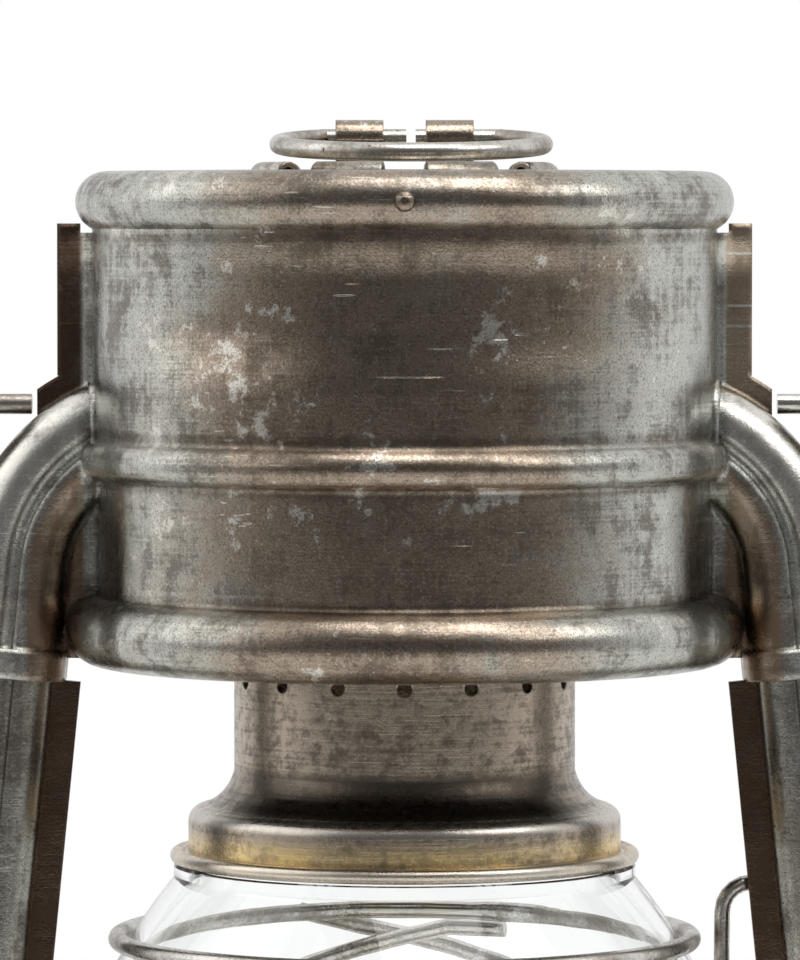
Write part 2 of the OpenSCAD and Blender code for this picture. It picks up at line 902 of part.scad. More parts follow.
module hood_lid() {
    lip_r = hood_r + seam_gap;
    gill_span = 360 / gill_count * gill_share;
    color("lightslategray")
        difference() {
            union() {
                rotate_extrude()
                    difference() {
                        union() {
                            translate([lid_bead_x, lid_bead_z])
                                circle(lid_bead_r);
                            span(0, lid_under, lid_bead_x, lid_top);
                        }
                        translate([lid_bead_x, lid_bead_z])
                            circle(lid_bead_r - sheet);
                        span(0, wall_top - eps, lip_r, lid_bead_z);
                        span(0, wall_top - eps, lid_bead_x, lid_under);
                    }
                for (k = [0:gill_count - 1])
                    rotate([0, 0, 360 * (k + 0.5) / gill_count - gill_span / 2])
                        rotate_extrude(angle = gill_span)
                            difference() {
                                translate([gill_ring_r, lid_top])
                                    circle(gill_r);
                                span(0, lid_under - gill_r, gill_ring_r + gill_r, lid_top - sheet / 2);
                            }
            }
            for (k = [0:gill_count - 1])
                rotate([0, 0, 360 * (k + 0.5) / gill_count - gill_span / 2 - eps])
                    rotate_extrude(angle = gill_span + 2 * eps)
                        difference() {
                            translate([gill_ring_r, lid_top])
                                circle(gill_r - sheet);
                            span(0, lid_top - gill_r, gill_ring_r - gill_r / 2, lid_top + gill_r);
                        }
            for (s = [-1, 1])
                translate([s * (lug_near + lug_len / 2), 0, lid_under - eps])
                    linear_extrude(sheet + 2 * eps)
                        square([lug_len + 2 * slot_gap, lug_strap_t + 2 * slot_gap], center = true);
            rotate([90, 0, 0])
                translate([0, lid_bead_z, 0])
                    cylinder(r = rivet_r + seam_gap, h = big, center = true, $fn = hole_fn);
        }
}

module lid_rivets() {
    shank = 1.6;
    color("silver")
        for (s = [-1, 1])
            translate([0, s * (lid_reach - shank), lid_bead_z])
                rotate([s * -90, 0, 0]) {
                    cylinder(r = rivet_r, h = shank, $fn = hole_fn);
                    translate([0, 0, shank])
                        cylinder(r1 = rivet_r * 1.5, r2 = rivet_r * 0.6, h = rivet_r * 0.6, $fn = hole_fn);
                }
}

module flue_sleeve() {
    flange_w = 4;
    color("dimgray")
        translate([0, 0, lid_under - sleeve_len])
            difference() {
                union() {
                    cylinder(r = sleeve_in_r + sheet, h = sleeve_len);
                    translate([0, 0, sleeve_len - sheet])
                        cylinder(r = sleeve_in_r + flange_w, h = sheet);
                }
                translate([0, 0, -eps])
                    cylinder(r = sleeve_in_r, h = sleeve_len + 2 * eps);
            }
}

// The spring's path: a dead half turn at each end and an even climb between
coil_foot = bridge_z + bridge_t + coil_wire / 2 + seam_gap;
coil_head = lid_under - coil_wire / 2 - seam_gap;
coil_rings = 8 * coil_turns;
coil_path = [for (i = [0:coil_rings])
    let (a = 360 * i / 8)
    [coil_r * cos(a), coil_r * sin(a), coil_foot + (coil_head - coil_foot) * i / coil_rings]];
coil_self_gap = min([for (i = [0:coil_rings - 7], j = [i + 7:coil_rings])
    norm(coil_path[j] - coil_path[i])]) - coil_wire;
echo(coil_self_gap = coil_self_gap);

module chimney_spring() {
    color("silver")
        wire(coil_path, coil_wire / 2, 6, [0, 0, 1]);
}

// A right-hand ear of the bail, seated on the shoulder
module bail_ear() {
    difference() {
        translate([ear_x - sheet, 0, 0])
            rotate([90, 0, 90])
                linear_extrude(2 * sheet)
                    union() {
                        translate([0, bail_pivot_z])
                            circle(ear_r);
                        span(-ear_r, arm_z, ear_r, bail_pivot_z);
                    }
        shoulder(socket_grow + seam_gap, 0);
        translate([0, -ear_r - eps, 0])
            cube([ear_x + 2 * ear_r, 2 * ear_r + 2 * eps, arm_z + arm_bend_r / 2 - 2]);
        translate([ear_x - 2, 0, bail_pivot_z])
            rotate([0, 90, 0])
                cylinder(r = bail_wire / 2 + run_gap, h = 4, $fn = wire_fn);
    }
}

module bail_ear_left() {
    color("dimgray")
        mirror([1, 0, 0])
            bail_ear();
}

module bail_ear_right() {
    color("dimgray")
        bail_ear();
}

// The bail drawn hanging straight down from its pivots in the XZ plane
module bail_shape() {
    r = bail_wire / 2;
    tip_x = fin_tail_reach + 0.6;
    for (m = [0, 1])
        mirror([m, 0, 0]) {
            translate([tip_x, 0, 0])
                rotate([0, 90, 0])
                    cylinder(r = r, h = bail_r - bail_corner_r - tip_x, $fn = wire_fn);
            translate([bail_r - bail_corner_r, 0, -bail_corner_r])
                bend(0, 90)
                    translate([bail_corner_r, 0])
                        circle(r, $fn = wire_fn);
            translate([bail_r, 0, -bail_corner_r - bail_side])
                cylinder(r = r, h = bail_side, $fn = wire_fn);
        }
    translate([0, 0, -bail_corner_r - bail_side])
        bend(180, 360)
            translate([bail_r, 0])
                circle(r, $fn = wire_fn);
}

module bail() {
    color("silver")
        translate([0, 0, bail_pivot_z])
            rotate([bail_lean, 0, 0])
                bail_shape();
}

// The chimney's skirt with its round shoulder and cove, drawn in by t from the outside
module skirt_outline(t) {
    span(0, foot_z - t, skirt_r - t, skirt_round_z);
    translate([cove_x, skirt_round_z])
        circle(skirt_round - t);
    span(0, skirt_round_z - eps, cove_x, skirt_top - t);
    difference() {
        span(0, skirt_top - t - eps, cove_x, cove_z);
        translate([cove_mid_x, cove_z])
            circle(cove_r + t);
    }
}

module chimney() {
    color("darkgray")
        difference() {
            rotate_extrude()
                difference() {
                    union() {
                        span(0, skirt_z, flue_r, chimney_top);
                        skirt_outline(0);
                        span(skirt_r - sheet - eps, foot_z - sheet / 2, foot_x, foot_z + sheet / 2);
                        translate([foot_x, foot_z])
                            circle(foot_roll_r);
                    }
                    span(-eps, chimney_z - eps, flue_in_r, chimney_top + eps);
                    span(-eps, chimney_z - eps, skirt_r - sheet, foot_z + eps);
                    skirt_outline(sheet);
                }
            for (k = [0:vent_count - 1])
                rotate([0, 0, 360 * k / vent_count])
                    translate([flue_in_r - 1, 0, vent_z])
                        rotate([0, 90, 0])
                            cylinder(r = vent_r, h = sheet + 2, $fn = hole_fn);
        }
}

module lift_bridge() {
    color("gray")
        difference() {
            union() {
                intersection() {
                    translate([-flue_r, -bridge_w / 2, bridge_z])
                        cube([2 * flue_r, bridge_w, bridge_t]);
                    cylinder(r = flue_in_r - seam_gap, h = big);
                }
                for (s = [-1, 1])
                    translate([s * (lug_near + lug_len / 2), 0, 0]) {
                        translate([-lug_len / 2, -lug_strap_t / 2, bridge_z])
                            cube([lug_len, lug_strap_t, ring_pivot_z - bridge_z]);
                        translate([0, 0, ring_pivot_z])
                            rotate([0, 90, 0])
                                cylinder(r = lug_r, h = lug_len, center = true, $fn = wire_fn);
                    }
            }
            translate([0, 0, ring_pivot_z])
                rotate([0, 90, 0])
                    cylinder(r = ring_wire / 2 + run_gap, h = 2 * flue_r, center = true, $fn = wire_fn);
        }
}

module lift_ring() {
    r = ring_wire / 2;
    centre_y = -sqrt(ring_r * ring_r - ring_half_w * ring_half_w);
    from = 180 - acos(ring_half_w / ring_r);
    color("silver")
        translate([ring_shift, 0, ring_pivot_z])
            rotate([ring_tilt, 0, 0]) {
                translate([0, centre_y, 0])
                    rotate([0, 0, from])
                        rotate_extrude(angle = 540 - 2 * from)
                            translate([ring_r, 0])
                                circle(r, $fn = wire_fn);
                for (s = [-1, 1])
                    translate([s > 0 ? 0.5 : -ring_half_w - r / 2, 0, 0])
                        rotate([0, 90, 0])
                            cylinder(r = r, h = ring_half_w + r / 2 - 0.5, $fn = wire_fn);
            }
}

// The globe's outline, drawn in by t from the outside
module globe_outline(t) {
    span(0, globe_z - (t > 0 ? eps : 0), globe_foot_r - t, globe_z + belly_h / 2);
    span(0, globe_top - globe_rim_h - 4, globe_rim_r - t, globe_top + (t > 0 ? eps : 0));
    intersection() {
        translate([globe_arc_x, belly_z])
            circle(globe_arc_r - t);
        span(0, globe_z + 8, 2 * belly_r, globe_top - globe_rim_h);
    }
}

module globe() {
    color("lightcyan", 0.4)
        rotate_extrude($fn = 96)
            difference() {
                globe_outline(0);
                globe_outline(glass_t);
            }
}

module globe_plate() {
    hole_in_r = cone_r + 1.5;
    ring_in_r = (hole_in_r + globe_foot_r - glass_t) / 2;
    color("slategray")
        difference() {
            union() {
                translate([0, 0, plate_z])
                    cylinder(r = plate_r, h = plate_t);
                translate([0, 0, globe_z])
                    cylinder(r = lip_out_r, h = lip_h);
            }
            translate([0, 0, globe_z])
                cylinder(r = lip_in_r, h = lip_h + eps);
            translate([0, 0, plate_z - eps])
                cylinder(r = hole_in_r, h = plate_t + 2 * eps);
            for (k = [0:plate_holes - 1])
                rotate([0, 0, 360 * k / plate_holes])
                    translate([ring_in_r, 0, plate_z - eps])
                        cylinder(r = plate_hole_r, h = plate_t + 2 * eps, $fn = hole_fn);
        }
}

// Radius of the guard's wires at height z
function guard_at(z, r) =
    max(globe_at(z) + guard_gap + r, z < belly_z ? guard_foot_r : 0);

// Bearing of a crossing wire at height z, from the middle of its side
function guard_bearing(z) =
    guard_spread * (1 - exp((z - guard_cross_z) / guard_fall));

// How far the second wire stands out over the first at height z, from below their crossing upwards
function guard_over(z) =
    (guard_wire + guard_clear) * exp(-pow(min(0, z - guard_cross_z) / guard_fade, 2));

// A point of a crossing wire on the front, at height z and bearing a to the side of s
function guard_point(s, z, a) =
    let (r = guard_at(z, guard_r) + (s > 0 ? guard_over(z) : 0))
    [r * sin(s * a), -r * cos(s * a), z];

// A crossing wire on the front. Its end lies along the ring, below it or, on the second wire,
// outside it, and from there it runs down to the plate on the side of s.
function guard_path(s) = concat(
    [for (k = [tail_steps:-1:1])
        let (q = k / tail_steps,
             rise = s > 0 ? guard_ring_z - guard_head_z : 0)
        guard_point(s, guard_head_z + q * rise, guard_bearing(guard_head_z) - q * guard_tail)],
    [for (i = [0:wire_steps])
        let (q = i / wire_steps,
             z = guard_head_z + (globe_z - guard_head_z) * (0.35 * q + 0.65 * q * q))
        guard_point(s, z, guard_bearing(z))]);

module guard_ring() {
    color("silver")
        translate([0, 0, guard_ring_z])
            rotate_extrude()
                translate([guard_ring_r, 0])
                    circle(guard_r, $fn = wire_fn);
}

// A crossing wire on the front or, mirrored, on the rear
module guard_wire_piece(s, rear) {
    color("silver")
        mirror([0, rear ? 1 : 0, 0])
            wire(guard_path(s), guard_r, wire_sides, [0, 1, 0.3]);
}

module guard_wire_front_under() {
    guard_wire_piece(-1, false);
}

module guard_wire_front_over() {
    guard_wire_piece(1, false);
}

module guard_wire_rear_under() {
    guard_wire_piece(-1, true);
}

module guard_wire_rear_over() {
    guard_wire_piece(1, true);
}

// The hook wire: a hooked head behind the tube's flange, then down along the globe to its plate
hook_bend = 3.2;
hook_fall = [for (i = [0:wire_steps])
    let (q = i / wire_steps,
         z = guard_ring_z - 1 + (globe_z - guard_ring_z + 1) * q,
         r = max(guard_at(z, hook_r), hook_x))
    [sqrt(r * r - hook_y * hook_y), hook_y, z]];
hook_head = [for (i = [0:5])
    let (a = 90 + 18 * i)
    [hook_x + hook_bend + hook_bend * cos(a), hook_y, hook_z - hook_bend + hook_bend * sin(a)]];
hook_path = concat([[hook_out, hook_y, hook_z]], hook_head, hook_fall);

module hook_wire_right() {
    color("silver")
        wire(hook_path, hook_r, wire_sides, [0, 1, 0]);
}

module burner_body() {
    window_h = 2 * wheel_r + 1;
    color("goldenrod")
        difference() {
            union() {
                translate([0, 0, tank_h - 1])
                    linear_extrude(wick_tube_top - tank_h + 1)
                        square([wick_tube_t, wick_tube_w], center = true);
                translate([0, 0, burner_base_z])
                    cylinder(r = collar_out_r - 0.5, h = burner_base_t);
                for (s = [-1, 1])
                    translate([wick_tube_t / 2 - 0.4, s * (bracket_y + bracket_t / 2) - bracket_t / 2, 0])
                        translate([0, 0, burner_base_z])
                            cube([shaft_x + shaft_r + 1.5 - wick_tube_t / 2, bracket_t,
                                  shaft_z + shaft_r + 1.5 - burner_base_z]);
            }
            translate([0, 0, tank_h - 1 - eps])
                linear_extrude(wick_tube_top)
                    square([wick_t + 2 * wick_gap, wick_w + 2 * wick_gap], center = true);
            translate([0, -wick_w / 2, shaft_z - window_h / 2])
                cube([wick_tube_t, wick_w, window_h]);
            translate([shaft_x, shaft_back_y + eps, shaft_z])
                rotate([90, 0, 0])
                    cylinder(r = shaft_r + run_gap, h = 2 * (shaft_back_y + eps));
        }
}

module burner_cone() {
    slot_w = wick_w + 3;
    slot_t = wick_t + 4;
    color("goldenrod")
        difference() {
            rotate_extrude()
                difference() {
                    union() {
                        span(0, cone_z, cone_r, dome_z);
                        intersection() {
                            translate([0, dome_z])
                                circle(cone_r);
                            span(0, dome_z, cone_r, dome_z + cone_r);
                        }
                    }
                    span(0, cone_z - eps, cone_r - sheet, dome_z);
                    intersection() {
                        translate([0, dome_z])
                            circle(cone_r - sheet);
                        span(0, dome_z, cone_r, dome_z + cone_r);
                    }
                }
            translate([0, 0, dome_z])
                linear_extrude(cone_r + eps)
                    rounded(slot_t, slot_w, slot_t / 2 - 0.01);
            for (k = [0:11])
                rotate([0, 0, 30 * k])
                    translate([cone_r - sheet - 1, 0, cone_z + cone_foot_h / 2])
                        rotate([0, 90, 0])
                            cylinder(r = 1, h = sheet + 2, $fn = hole_fn);
        }
}

module wick() {
    color("ivory")
        translate([0, 0, wick_foot_z])
            linear_extrude(wick_tube_top + 1.5 - wick_foot_z)
                square([wick_t, wick_w], center = true);
}

module wick_shaft() {
    color("goldenrod")
        translate([shaft_x, shaft_back_y, shaft_z])
            rotate([90, 0, 0]) {
                cylinder(r = shaft_r, h = shaft_back_y + knob_reach, $fn = wire_fn);
                for (s = [-1, 1])
                    translate([0, 0, shaft_back_y + s * wheel_y - wheel_t / 2])
                        cylinder(r = wheel_r, h = wheel_t, $fn = 12);
            }
}

module wick_knob() {
    knob_t = 1.6;
    grips = 18;
    color("darkgoldenrod")
        translate([shaft_x, -knob_reach, shaft_z])
            rotate([90, 0, 0])
                difference() {
                    union() {
                        cylinder(r = knob_r, h = knob_t);
                        cylinder(r = shaft_r + 1.6, h = knob_t + 2);
                        translate([0, 0, knob_t])
                            cylinder(r1 = knob_r - 1, r2 = knob_r - 1.8, h = 0.6);
                    }
                    for (k = [0:grips - 1])
                        rotate([0, 0, 360 * k / grips])
                            translate([knob_r + 0.3, 0, -eps])
                                cylinder(r = 0.8, h = knob_t + 2 * eps, $fn = hole_fn);
                }
}

module lever_pivot() {
    boss_t = lever_y - tube_d / 2 - seat_gap;
    color("silver")
        translate([pivot_x, -tube_d / 2, pivot_z])
            rotate([90, 0, 0]) {
                cylinder(r = pivot_r + 1.4, h = boss_t);
                cylinder(r = pivot_r, h = boss_t + lever_t + 2 * seat_gap + 1, $fn = wire_fn);
                translate([0, 0, boss_t + lever_t + 2 * seat_gap])
                    cylinder(r = pivot_r + 1, h = 1);
            }
}

module lift_lever() {
    pivot = [pivot_x, pivot_z];
    finger = [finger_reach, finger_z];
    knee = [finger_reach + 6, finger_z - 1.2];
    thumb = pivot + thumb_len * [cos(lever_turn / 2), sin(lever_turn / 2)];
    knee_r = finger_r + 0.6;
    tip_r = finger_r - 0.15;
    eye_r = pivot_r + 1.8;
    neck_r = 2.2;
    pad_r = 2.8;
    pad_w = 7;
    color("gray")
        difference() {
            union() {
                translate([0, -lever_y, 0])
                    rotate([90, 0, 0])
                        linear_extrude(lever_t)
                            union() {
                                link(pivot, knee, eye_r, knee_r);
                                link(knee, finger, knee_r, tip_r);
                                link(pivot, thumb, eye_r, neck_r);
                            }
                translate([finger[0], -lever_y + finger_in, finger[1]])
                    rotate([90, 0, 0])
                        cylinder(r = finger_r, h = finger_in + lever_t / 2, $fn = wire_fn);
                translate([thumb[0], -lever_y - lever_t - seat_gap, thumb[1]])
                    rotate([-90, 0, 0])
                        cylinder(r = pad_r, h = pad_w);
            }
            translate([pivot_x, 0, pivot_z])
                rotate([90, 0, 0])
                    cylinder(r = pivot_r + run_gap, h = 2 * tube_d);
        }
}

tank_shell();
tank_top();
tank_bottom();
filler_neck();
filler_cap();
cap_gasket();
burner_collar();
air_chamber();
burner_deck();
air_tube_left();
air_tube_right();
hood_front();
hood_rear();
hood_lid();
lid_rivets();
flue_sleeve();
chimney_spring();
bail_ear_left();
bail_ear_right();
bail();
chimney();
lift_bridge();
lift_ring();
globe();
globe_plate();
guard_ring();
guard_wire_front_under();
guard_wire_front_over();
guard_wire_rear_under();
guard_wire_rear_over();
hook_wire_right();
burner_body();
burner_cone();
wick();
wick_shaft();
wick_knob();
lever_pivot();
lift_lever();
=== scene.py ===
"""Hurricane lantern in aged tin plate: finishes, finer meshes, light and camera round its frame."""

import itertools
import json
import logging
import math
from dataclasses import dataclass, field
from enum import Enum

import bmesh
import bpy
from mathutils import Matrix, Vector

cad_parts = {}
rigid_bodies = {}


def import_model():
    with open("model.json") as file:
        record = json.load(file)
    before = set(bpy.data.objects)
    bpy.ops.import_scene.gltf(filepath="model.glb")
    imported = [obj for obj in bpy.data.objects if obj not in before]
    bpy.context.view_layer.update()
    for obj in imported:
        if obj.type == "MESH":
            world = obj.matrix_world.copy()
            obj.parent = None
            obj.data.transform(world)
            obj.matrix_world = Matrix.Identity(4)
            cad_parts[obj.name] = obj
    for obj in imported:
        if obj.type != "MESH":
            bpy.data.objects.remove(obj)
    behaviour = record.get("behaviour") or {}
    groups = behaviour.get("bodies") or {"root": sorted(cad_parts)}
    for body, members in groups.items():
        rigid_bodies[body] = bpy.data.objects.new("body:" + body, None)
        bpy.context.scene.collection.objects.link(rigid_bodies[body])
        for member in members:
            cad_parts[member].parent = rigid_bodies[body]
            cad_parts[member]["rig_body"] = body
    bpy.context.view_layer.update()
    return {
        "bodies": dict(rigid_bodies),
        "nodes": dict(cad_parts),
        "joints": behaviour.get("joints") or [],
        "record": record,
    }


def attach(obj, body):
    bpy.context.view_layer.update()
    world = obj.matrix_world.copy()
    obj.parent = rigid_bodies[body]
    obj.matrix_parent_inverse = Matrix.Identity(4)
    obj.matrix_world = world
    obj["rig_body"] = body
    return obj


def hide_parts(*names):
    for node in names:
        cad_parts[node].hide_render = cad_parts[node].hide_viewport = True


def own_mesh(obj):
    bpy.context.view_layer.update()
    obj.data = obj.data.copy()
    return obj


LOG = logging.getLogger("lantern")
MM = 0.001
CREASE = 75.0
MERGE = 0.004 * MM
EDGE_SAMPLES = 6

Colour = tuple[float, float, float]
Point = tuple[float, float, float]
Span = tuple[float, float]
Socket = bpy.types.NodeSocket


class Axis(Enum):
    """The coordinate that a mask reads."""

    X = 0
    Y = 1
    Z = 2


class Side(Enum):
    """A side of the lantern, by the sign of X."""

    LEFT = -1
    RIGHT = 1


class Half(Enum):
    """A half of the lantern, by the sign of Y."""

    FRONT = -1
    REAR = 1


class Op(Enum):
    """How two values are put together."""

    PLUS = "ADD"
    MINUS = "SUBTRACT"
    TIMES = "MULTIPLY"
    SIZE = "ABSOLUTE"
    MOST = "MAXIMUM"
    POWER = "POWER"


class Graph:
    """A material's nodes, with short calls for those that the finishes share."""

    def __init__(self, name: str) -> None:
        """Start an empty material with a shader and object coordinates.

        Args:
            name: The material's name.
        """
        self.material = bpy.data.materials.new(name)
        self.material.use_nodes = True
        self.tree = self.material.node_tree
        self.tree.nodes.clear()
        self.shader = self.add("ShaderNodeBsdfPrincipled")
        output = self.add("ShaderNodeOutputMaterial")
        self.tree.links.new(self.shader.outputs[0], output.inputs[0])
        self.place = self.add("ShaderNodeTexCoord").outputs["Object"]
        split = self.add("ShaderNodeSeparateXYZ")
        self.tree.links.new(self.place, split.inputs[0])
        self.axes = tuple(split.outputs)

    def add(self, kind: str) -> bpy.types.Node:
        """Return a new node of that kind."""
        return self.tree.nodes.new(kind)

    def feed(self, socket: Socket, value: Socket | float | Colour) -> None:
        """Link a socket to another, or set its value.

        Args:
            socket: The input.
            value: An output, a number or a colour.
        """
        if isinstance(value, bpy.types.NodeSocket):
            self.tree.links.new(value, socket)
        elif isinstance(value, tuple) and len(socket.default_value) == 4:
            socket.default_value = (*value, 1.0)
        else:
            socket.default_value = value

    def set(self, name: str, value: Socket | float | Colour) -> None:
        """Feed one of the shader's own sockets."""
        self.feed(self.shader.inputs[name], value)

    def stretch(self, scale: Point, turn: Point = (0.0, 0.0, 0.0)) -> Socket:
        """Object coordinates, turned and stretched.

        Args:
            scale: Factor on each axis, per metre.
            turn: Turn about each axis, in degrees.

        Returns:
            The mapped coordinates.
        """
        mapping = self.add("ShaderNodeMapping")
        self.feed(mapping.inputs["Vector"], self.place)
        mapping.inputs["Rotation"].default_value = [math.radians(t) for t in turn]
        mapping.inputs["Scale"].default_value = scale
        return mapping.outputs[0]

    def noise(
        self,
        scale: float,
        detail: float = 4.0,
        rough: float = 0.6,
        at: Socket | None = None,
        warp: float = 0.0,
    ) -> Socket:
        """A cloud of values from 0 to 1.

        Args:
            scale: Blots per metre, or per unit of the coordinates given.
            detail: Octaves.
            rough: Share of the fine octaves.
            at: Coordinates other than the object's own.
            warp: How much the blots are pulled about.

        Returns:
            The value.
        """
        node = self.add("ShaderNodeTexNoise")
        self.feed(node.inputs["Vector"], at or self.place)
        node.inputs["Scale"].default_value = scale
        node.inputs["Detail"].default_value = detail
        node.inputs["Roughness"].default_value = rough
        node.inputs["Distortion"].default_value = warp
        return node.outputs[0]

    def fit(
        self, value: Socket, low: float, high: float, a: float = 0.0, b: float = 1.0
    ) -> Socket:
        """Ease a value from one range into another.

        Args:
            value: What is mapped.
            low: Value that gives a.
            high: Value that gives b.
            a: Result at low.
            b: Result at high.

        Returns:
            The eased value.
        """
        node = self.add("ShaderNodeMapRange")
        node.interpolation_type = "SMOOTHSTEP"
        for socket, number in zip(node.inputs, (value, low, high, a, b)):
            self.feed(socket, number)
        return node.outputs[0]

    def sum(self, a: Socket | float, b: Socket | float, how: Op = Op.PLUS) -> Socket:
        """Two values put together.

        Args:
            a: First value.
            b: Second value.
            how: What is done with them.

        Returns:
            The result.
        """
        node = self.add("ShaderNodeMath")
        node.operation = how.value
        self.feed(node.inputs[0], a)
        self.feed(node.inputs[1], b)
        return node.outputs[0]

    def along(self, axis: Axis) -> Socket:
        """The coordinate along an axis."""
        return self.axes[axis.value]

    def off(self, value: Socket, level: float) -> Socket:
        """How far a value lies from a level, on either side."""
        return self.sum(self.sum(value, level, Op.MINUS), 0.0, Op.SIZE)

    def size_of(self, axis: Axis) -> Socket:
        """The distance from the plane where that coordinate is 0."""
        return self.sum(self.along(axis), 0.0, Op.SIZE)

    def over(
        self, share: Socket | float, base: Socket | Colour, coat: Socket | Colour
    ) -> Socket:
        """A coat of colour over another.

        Args:
            share: How much of the coat shows.
            base: Colour below.
            coat: Colour above.

        Returns:
            The mixed colour.
        """
        node = self.add("ShaderNodeMix")
        node.data_type = "RGBA"
        self.feed(node.inputs[0], share)
        self.feed(node.inputs[6], base)
        self.feed(node.inputs[7], coat)
        return node.outputs[2]

    def soft_edge(self, width: float) -> Socket:
        """The normal of a surface whose edges are rounded to that width, in metres."""
        node = self.add("ShaderNodeBevel")
        node.samples = EDGE_SAMPLES
        node.inputs["Radius"].default_value = width
        return node.outputs[0]

    def relief(
        self, height: Socket, depth: float, below: Socket | None = None
    ) -> Socket:
        """A bump over the surface.

        Args:
            height: Value from 0 to 1.
            depth: What 1 stands for, in metres.
            below: Normal of a relief that lies under it.

        Returns:
            The normal.
        """
        node = self.add("ShaderNodeBump")
        node.inputs["Strength"].default_value = 1.0
        node.inputs["Distance"].default_value = depth
        self.feed(node.inputs["Height"], height)
        if below is not None:
            self.feed(node.inputs["Normal"], below)
        return node.outputs[0]


@dataclass(frozen=True)
class AgedTin:
    """Tin plate worn to brown steel, with grey tin at the sides, flakes, rust flecks, scratches,
    painted shade along the bead creases and a painted highlight on the outer shoulders.

    The seam colour goes on sheet that stands out along the plane between the two pressed halves.
    A span is where a mask begins and where it ends.
    """

    name: str
    grey: Colour = (0.50, 0.51, 0.47)
    brown: Colour = (0.345, 0.278, 0.216)
    # Pale tin of the flakes, specks, scratches and nicks, and also the colour of the painted
    # highlight on the outer shoulders.
    flake_and_highlight: Colour = (0.74, 0.72, 0.66)
    # Dark grime and specks, and also the colour of the painted shade along the bead creases.
    grime_and_shade: Colour = (0.10, 0.078, 0.058)
    rust: Colour = (0.34, 0.145, 0.045)
    seam: Colour | None = None
    seam_from: float = 34.7 * MM
    flute: Colour = (0.20, 0.142, 0.10)
    rubbed: Colour = (0.58, 0.47, 0.36)
    nicks: tuple[float, ...] = ()
    brown_bias: float = 0.0
    flake_at: float = 0.545
    rust_rings: tuple[float, ...] = ()
    grain: Point = (900.0, 900.0, 36.0)
    rough: tuple[float, float] = (0.17, 0.36)
    dent: float = 0.55 * MM
    edge: float = 0.35 * MM
    steps: tuple[tuple[float, float, float], ...] = ()
    # Levels of the painted shade lines along the bead creases.
    crease_shade_rings: tuple[float, ...] = ()
    arm: Span | None = None
    brown_x: Span = (10.0 * MM, 31.0 * MM)
    off_wall_x: Span = (34.4 * MM, 35.6 * MM)
    flute_reach: Span = (14.6 * MM, 16.0 * MM)
    # Where the painted highlight on the outer shoulders begins and ends.
    shoulder_highlight_reach: Span = (16.4 * MM, 18.0 * MM)
    crease_x: Span = (29.8 * MM, 32.8 * MM)
    crease_z: Span = (236.0 * MM, 243.0 * MM)
    crease_depth: float = 0.9 * MM
    fin_y: Span = (1.0 * MM, 1.7 * MM)
    fin_rub_z: Span = (232.0 * MM, 237.0 * MM)
    right_x: Span = (0.0, 30.0 * MM)

    def make(self) -> bpy.types.Material:
        """Build the material.

        Returns:
            The finished material.
        """
        g = Graph(self.name)
        patch = g.noise(30.0, 6.0, 0.66, warp=0.5)
        mottle = g.noise(150.0, 10.0, 0.76)
        speck = g.noise(4300.0, 3.0, 0.6)
        lines = self.brushing(g)
        tone = self.tin_or_steel(g, patch, mottle)
        shade = g.sum(g.sum(mottle, 0.65, Op.TIMES), g.sum(lines, 0.35, Op.TIMES))
        tone = g.over(g.fit(shade, 0.42, 0.53, 0.74, 0.0), tone, self.grime_and_shade)
        flakes = self.flakes(g, patch, mottle)
        tone = g.over(g.sum(flakes, 0.8, Op.TIMES), tone, self.flake_and_highlight)
        tone = g.over(g.fit(speck, 0.50, 0.68, 0.0, 0.6), tone, self.grime_and_shade)
        tone = g.over(g.fit(speck, 0.30, 0.44, 0.35, 0.0), tone, self.flake_and_highlight)
        rust = self.rust_mask(g, mottle)
        tone = g.over(rust, tone, self.rust)
        scratch = self.scratches(g)
        tone = g.over(g.sum(scratch, 0.55, Op.TIMES), tone, self.flake_and_highlight)
        # Painted shade: broken dark lines along the bead creases.
        tone = g.over(self.crease_shade_mask(g, mottle), tone, self.grime_and_shade)
        if self.arm is not None:
            # Painted highlight on the outer half of the shoulders, which is partly rubbed wear.
            tone = g.over(self.shoulder_highlight_mask(g, mottle), tone, self.flake_and_highlight)
        if self.seam is not None:
            tone = g.over(self.seam_mask(g), tone, self.seam_colour(g, shade))
        if self.arm is not None:
            flute = g.over(g.fit(shade, 0.44, 0.6), self.flute, self.brown)
            tone = g.over(self.flute_mask(g), tone, flute)
        if self.nicks:
            tone = g.over(self.rubbed_fin(g, mottle), tone, self.rubbed)
            tone = g.over(self.nick_mask(g), tone, self.flake_and_highlight)
        g.set("Base Color", tone)
        g.set("Metallic", g.fit(rust, 0.0, 1.0, 1.0, 0.3))
        gloss = g.fit(shade, 0.36, 0.62, self.rough[1], self.rough[0])
        gloss = g.sum(gloss, g.sum(flakes, 0.07, Op.TIMES))
        g.set("Roughness", g.sum(gloss, g.sum(rust, 0.3, Op.TIMES)))
        dents = g.relief(g.noise(46.0, 2.0, 0.5), self.dent, g.soft_edge(self.edge))
        for low, high, height in self.steps:
            dents = g.relief(g.fit(g.along(Axis.Z), low, high), height, dents)
        if self.arm is not None:
            dents = g.relief(self.side_crease(g), self.crease_depth, dents)
        pits = g.relief(g.sum(mottle, g.sum(lines, 0.4, Op.TIMES)), 0.05 * MM, dents)
        g.set("Normal", g.relief(g.sum(speck, scratch, Op.MINUS), 0.018 * MM, pits))
        return g.material

    def brushing(self, g: Graph) -> Socket:
        """Fine lines up the sheet and round it.

        Args:
            g: The material's nodes.

        Returns:
            A value from 0 to 1.
        """
        upward = g.noise(1.0, 5.0, 0.7, g.stretch(self.grain))
        around = g.noise(1.0, 5.0, 0.7, g.stretch((36.0, 36.0, 2800.0)))
        return g.sum(g.sum(upward, around), 0.5, Op.TIMES)

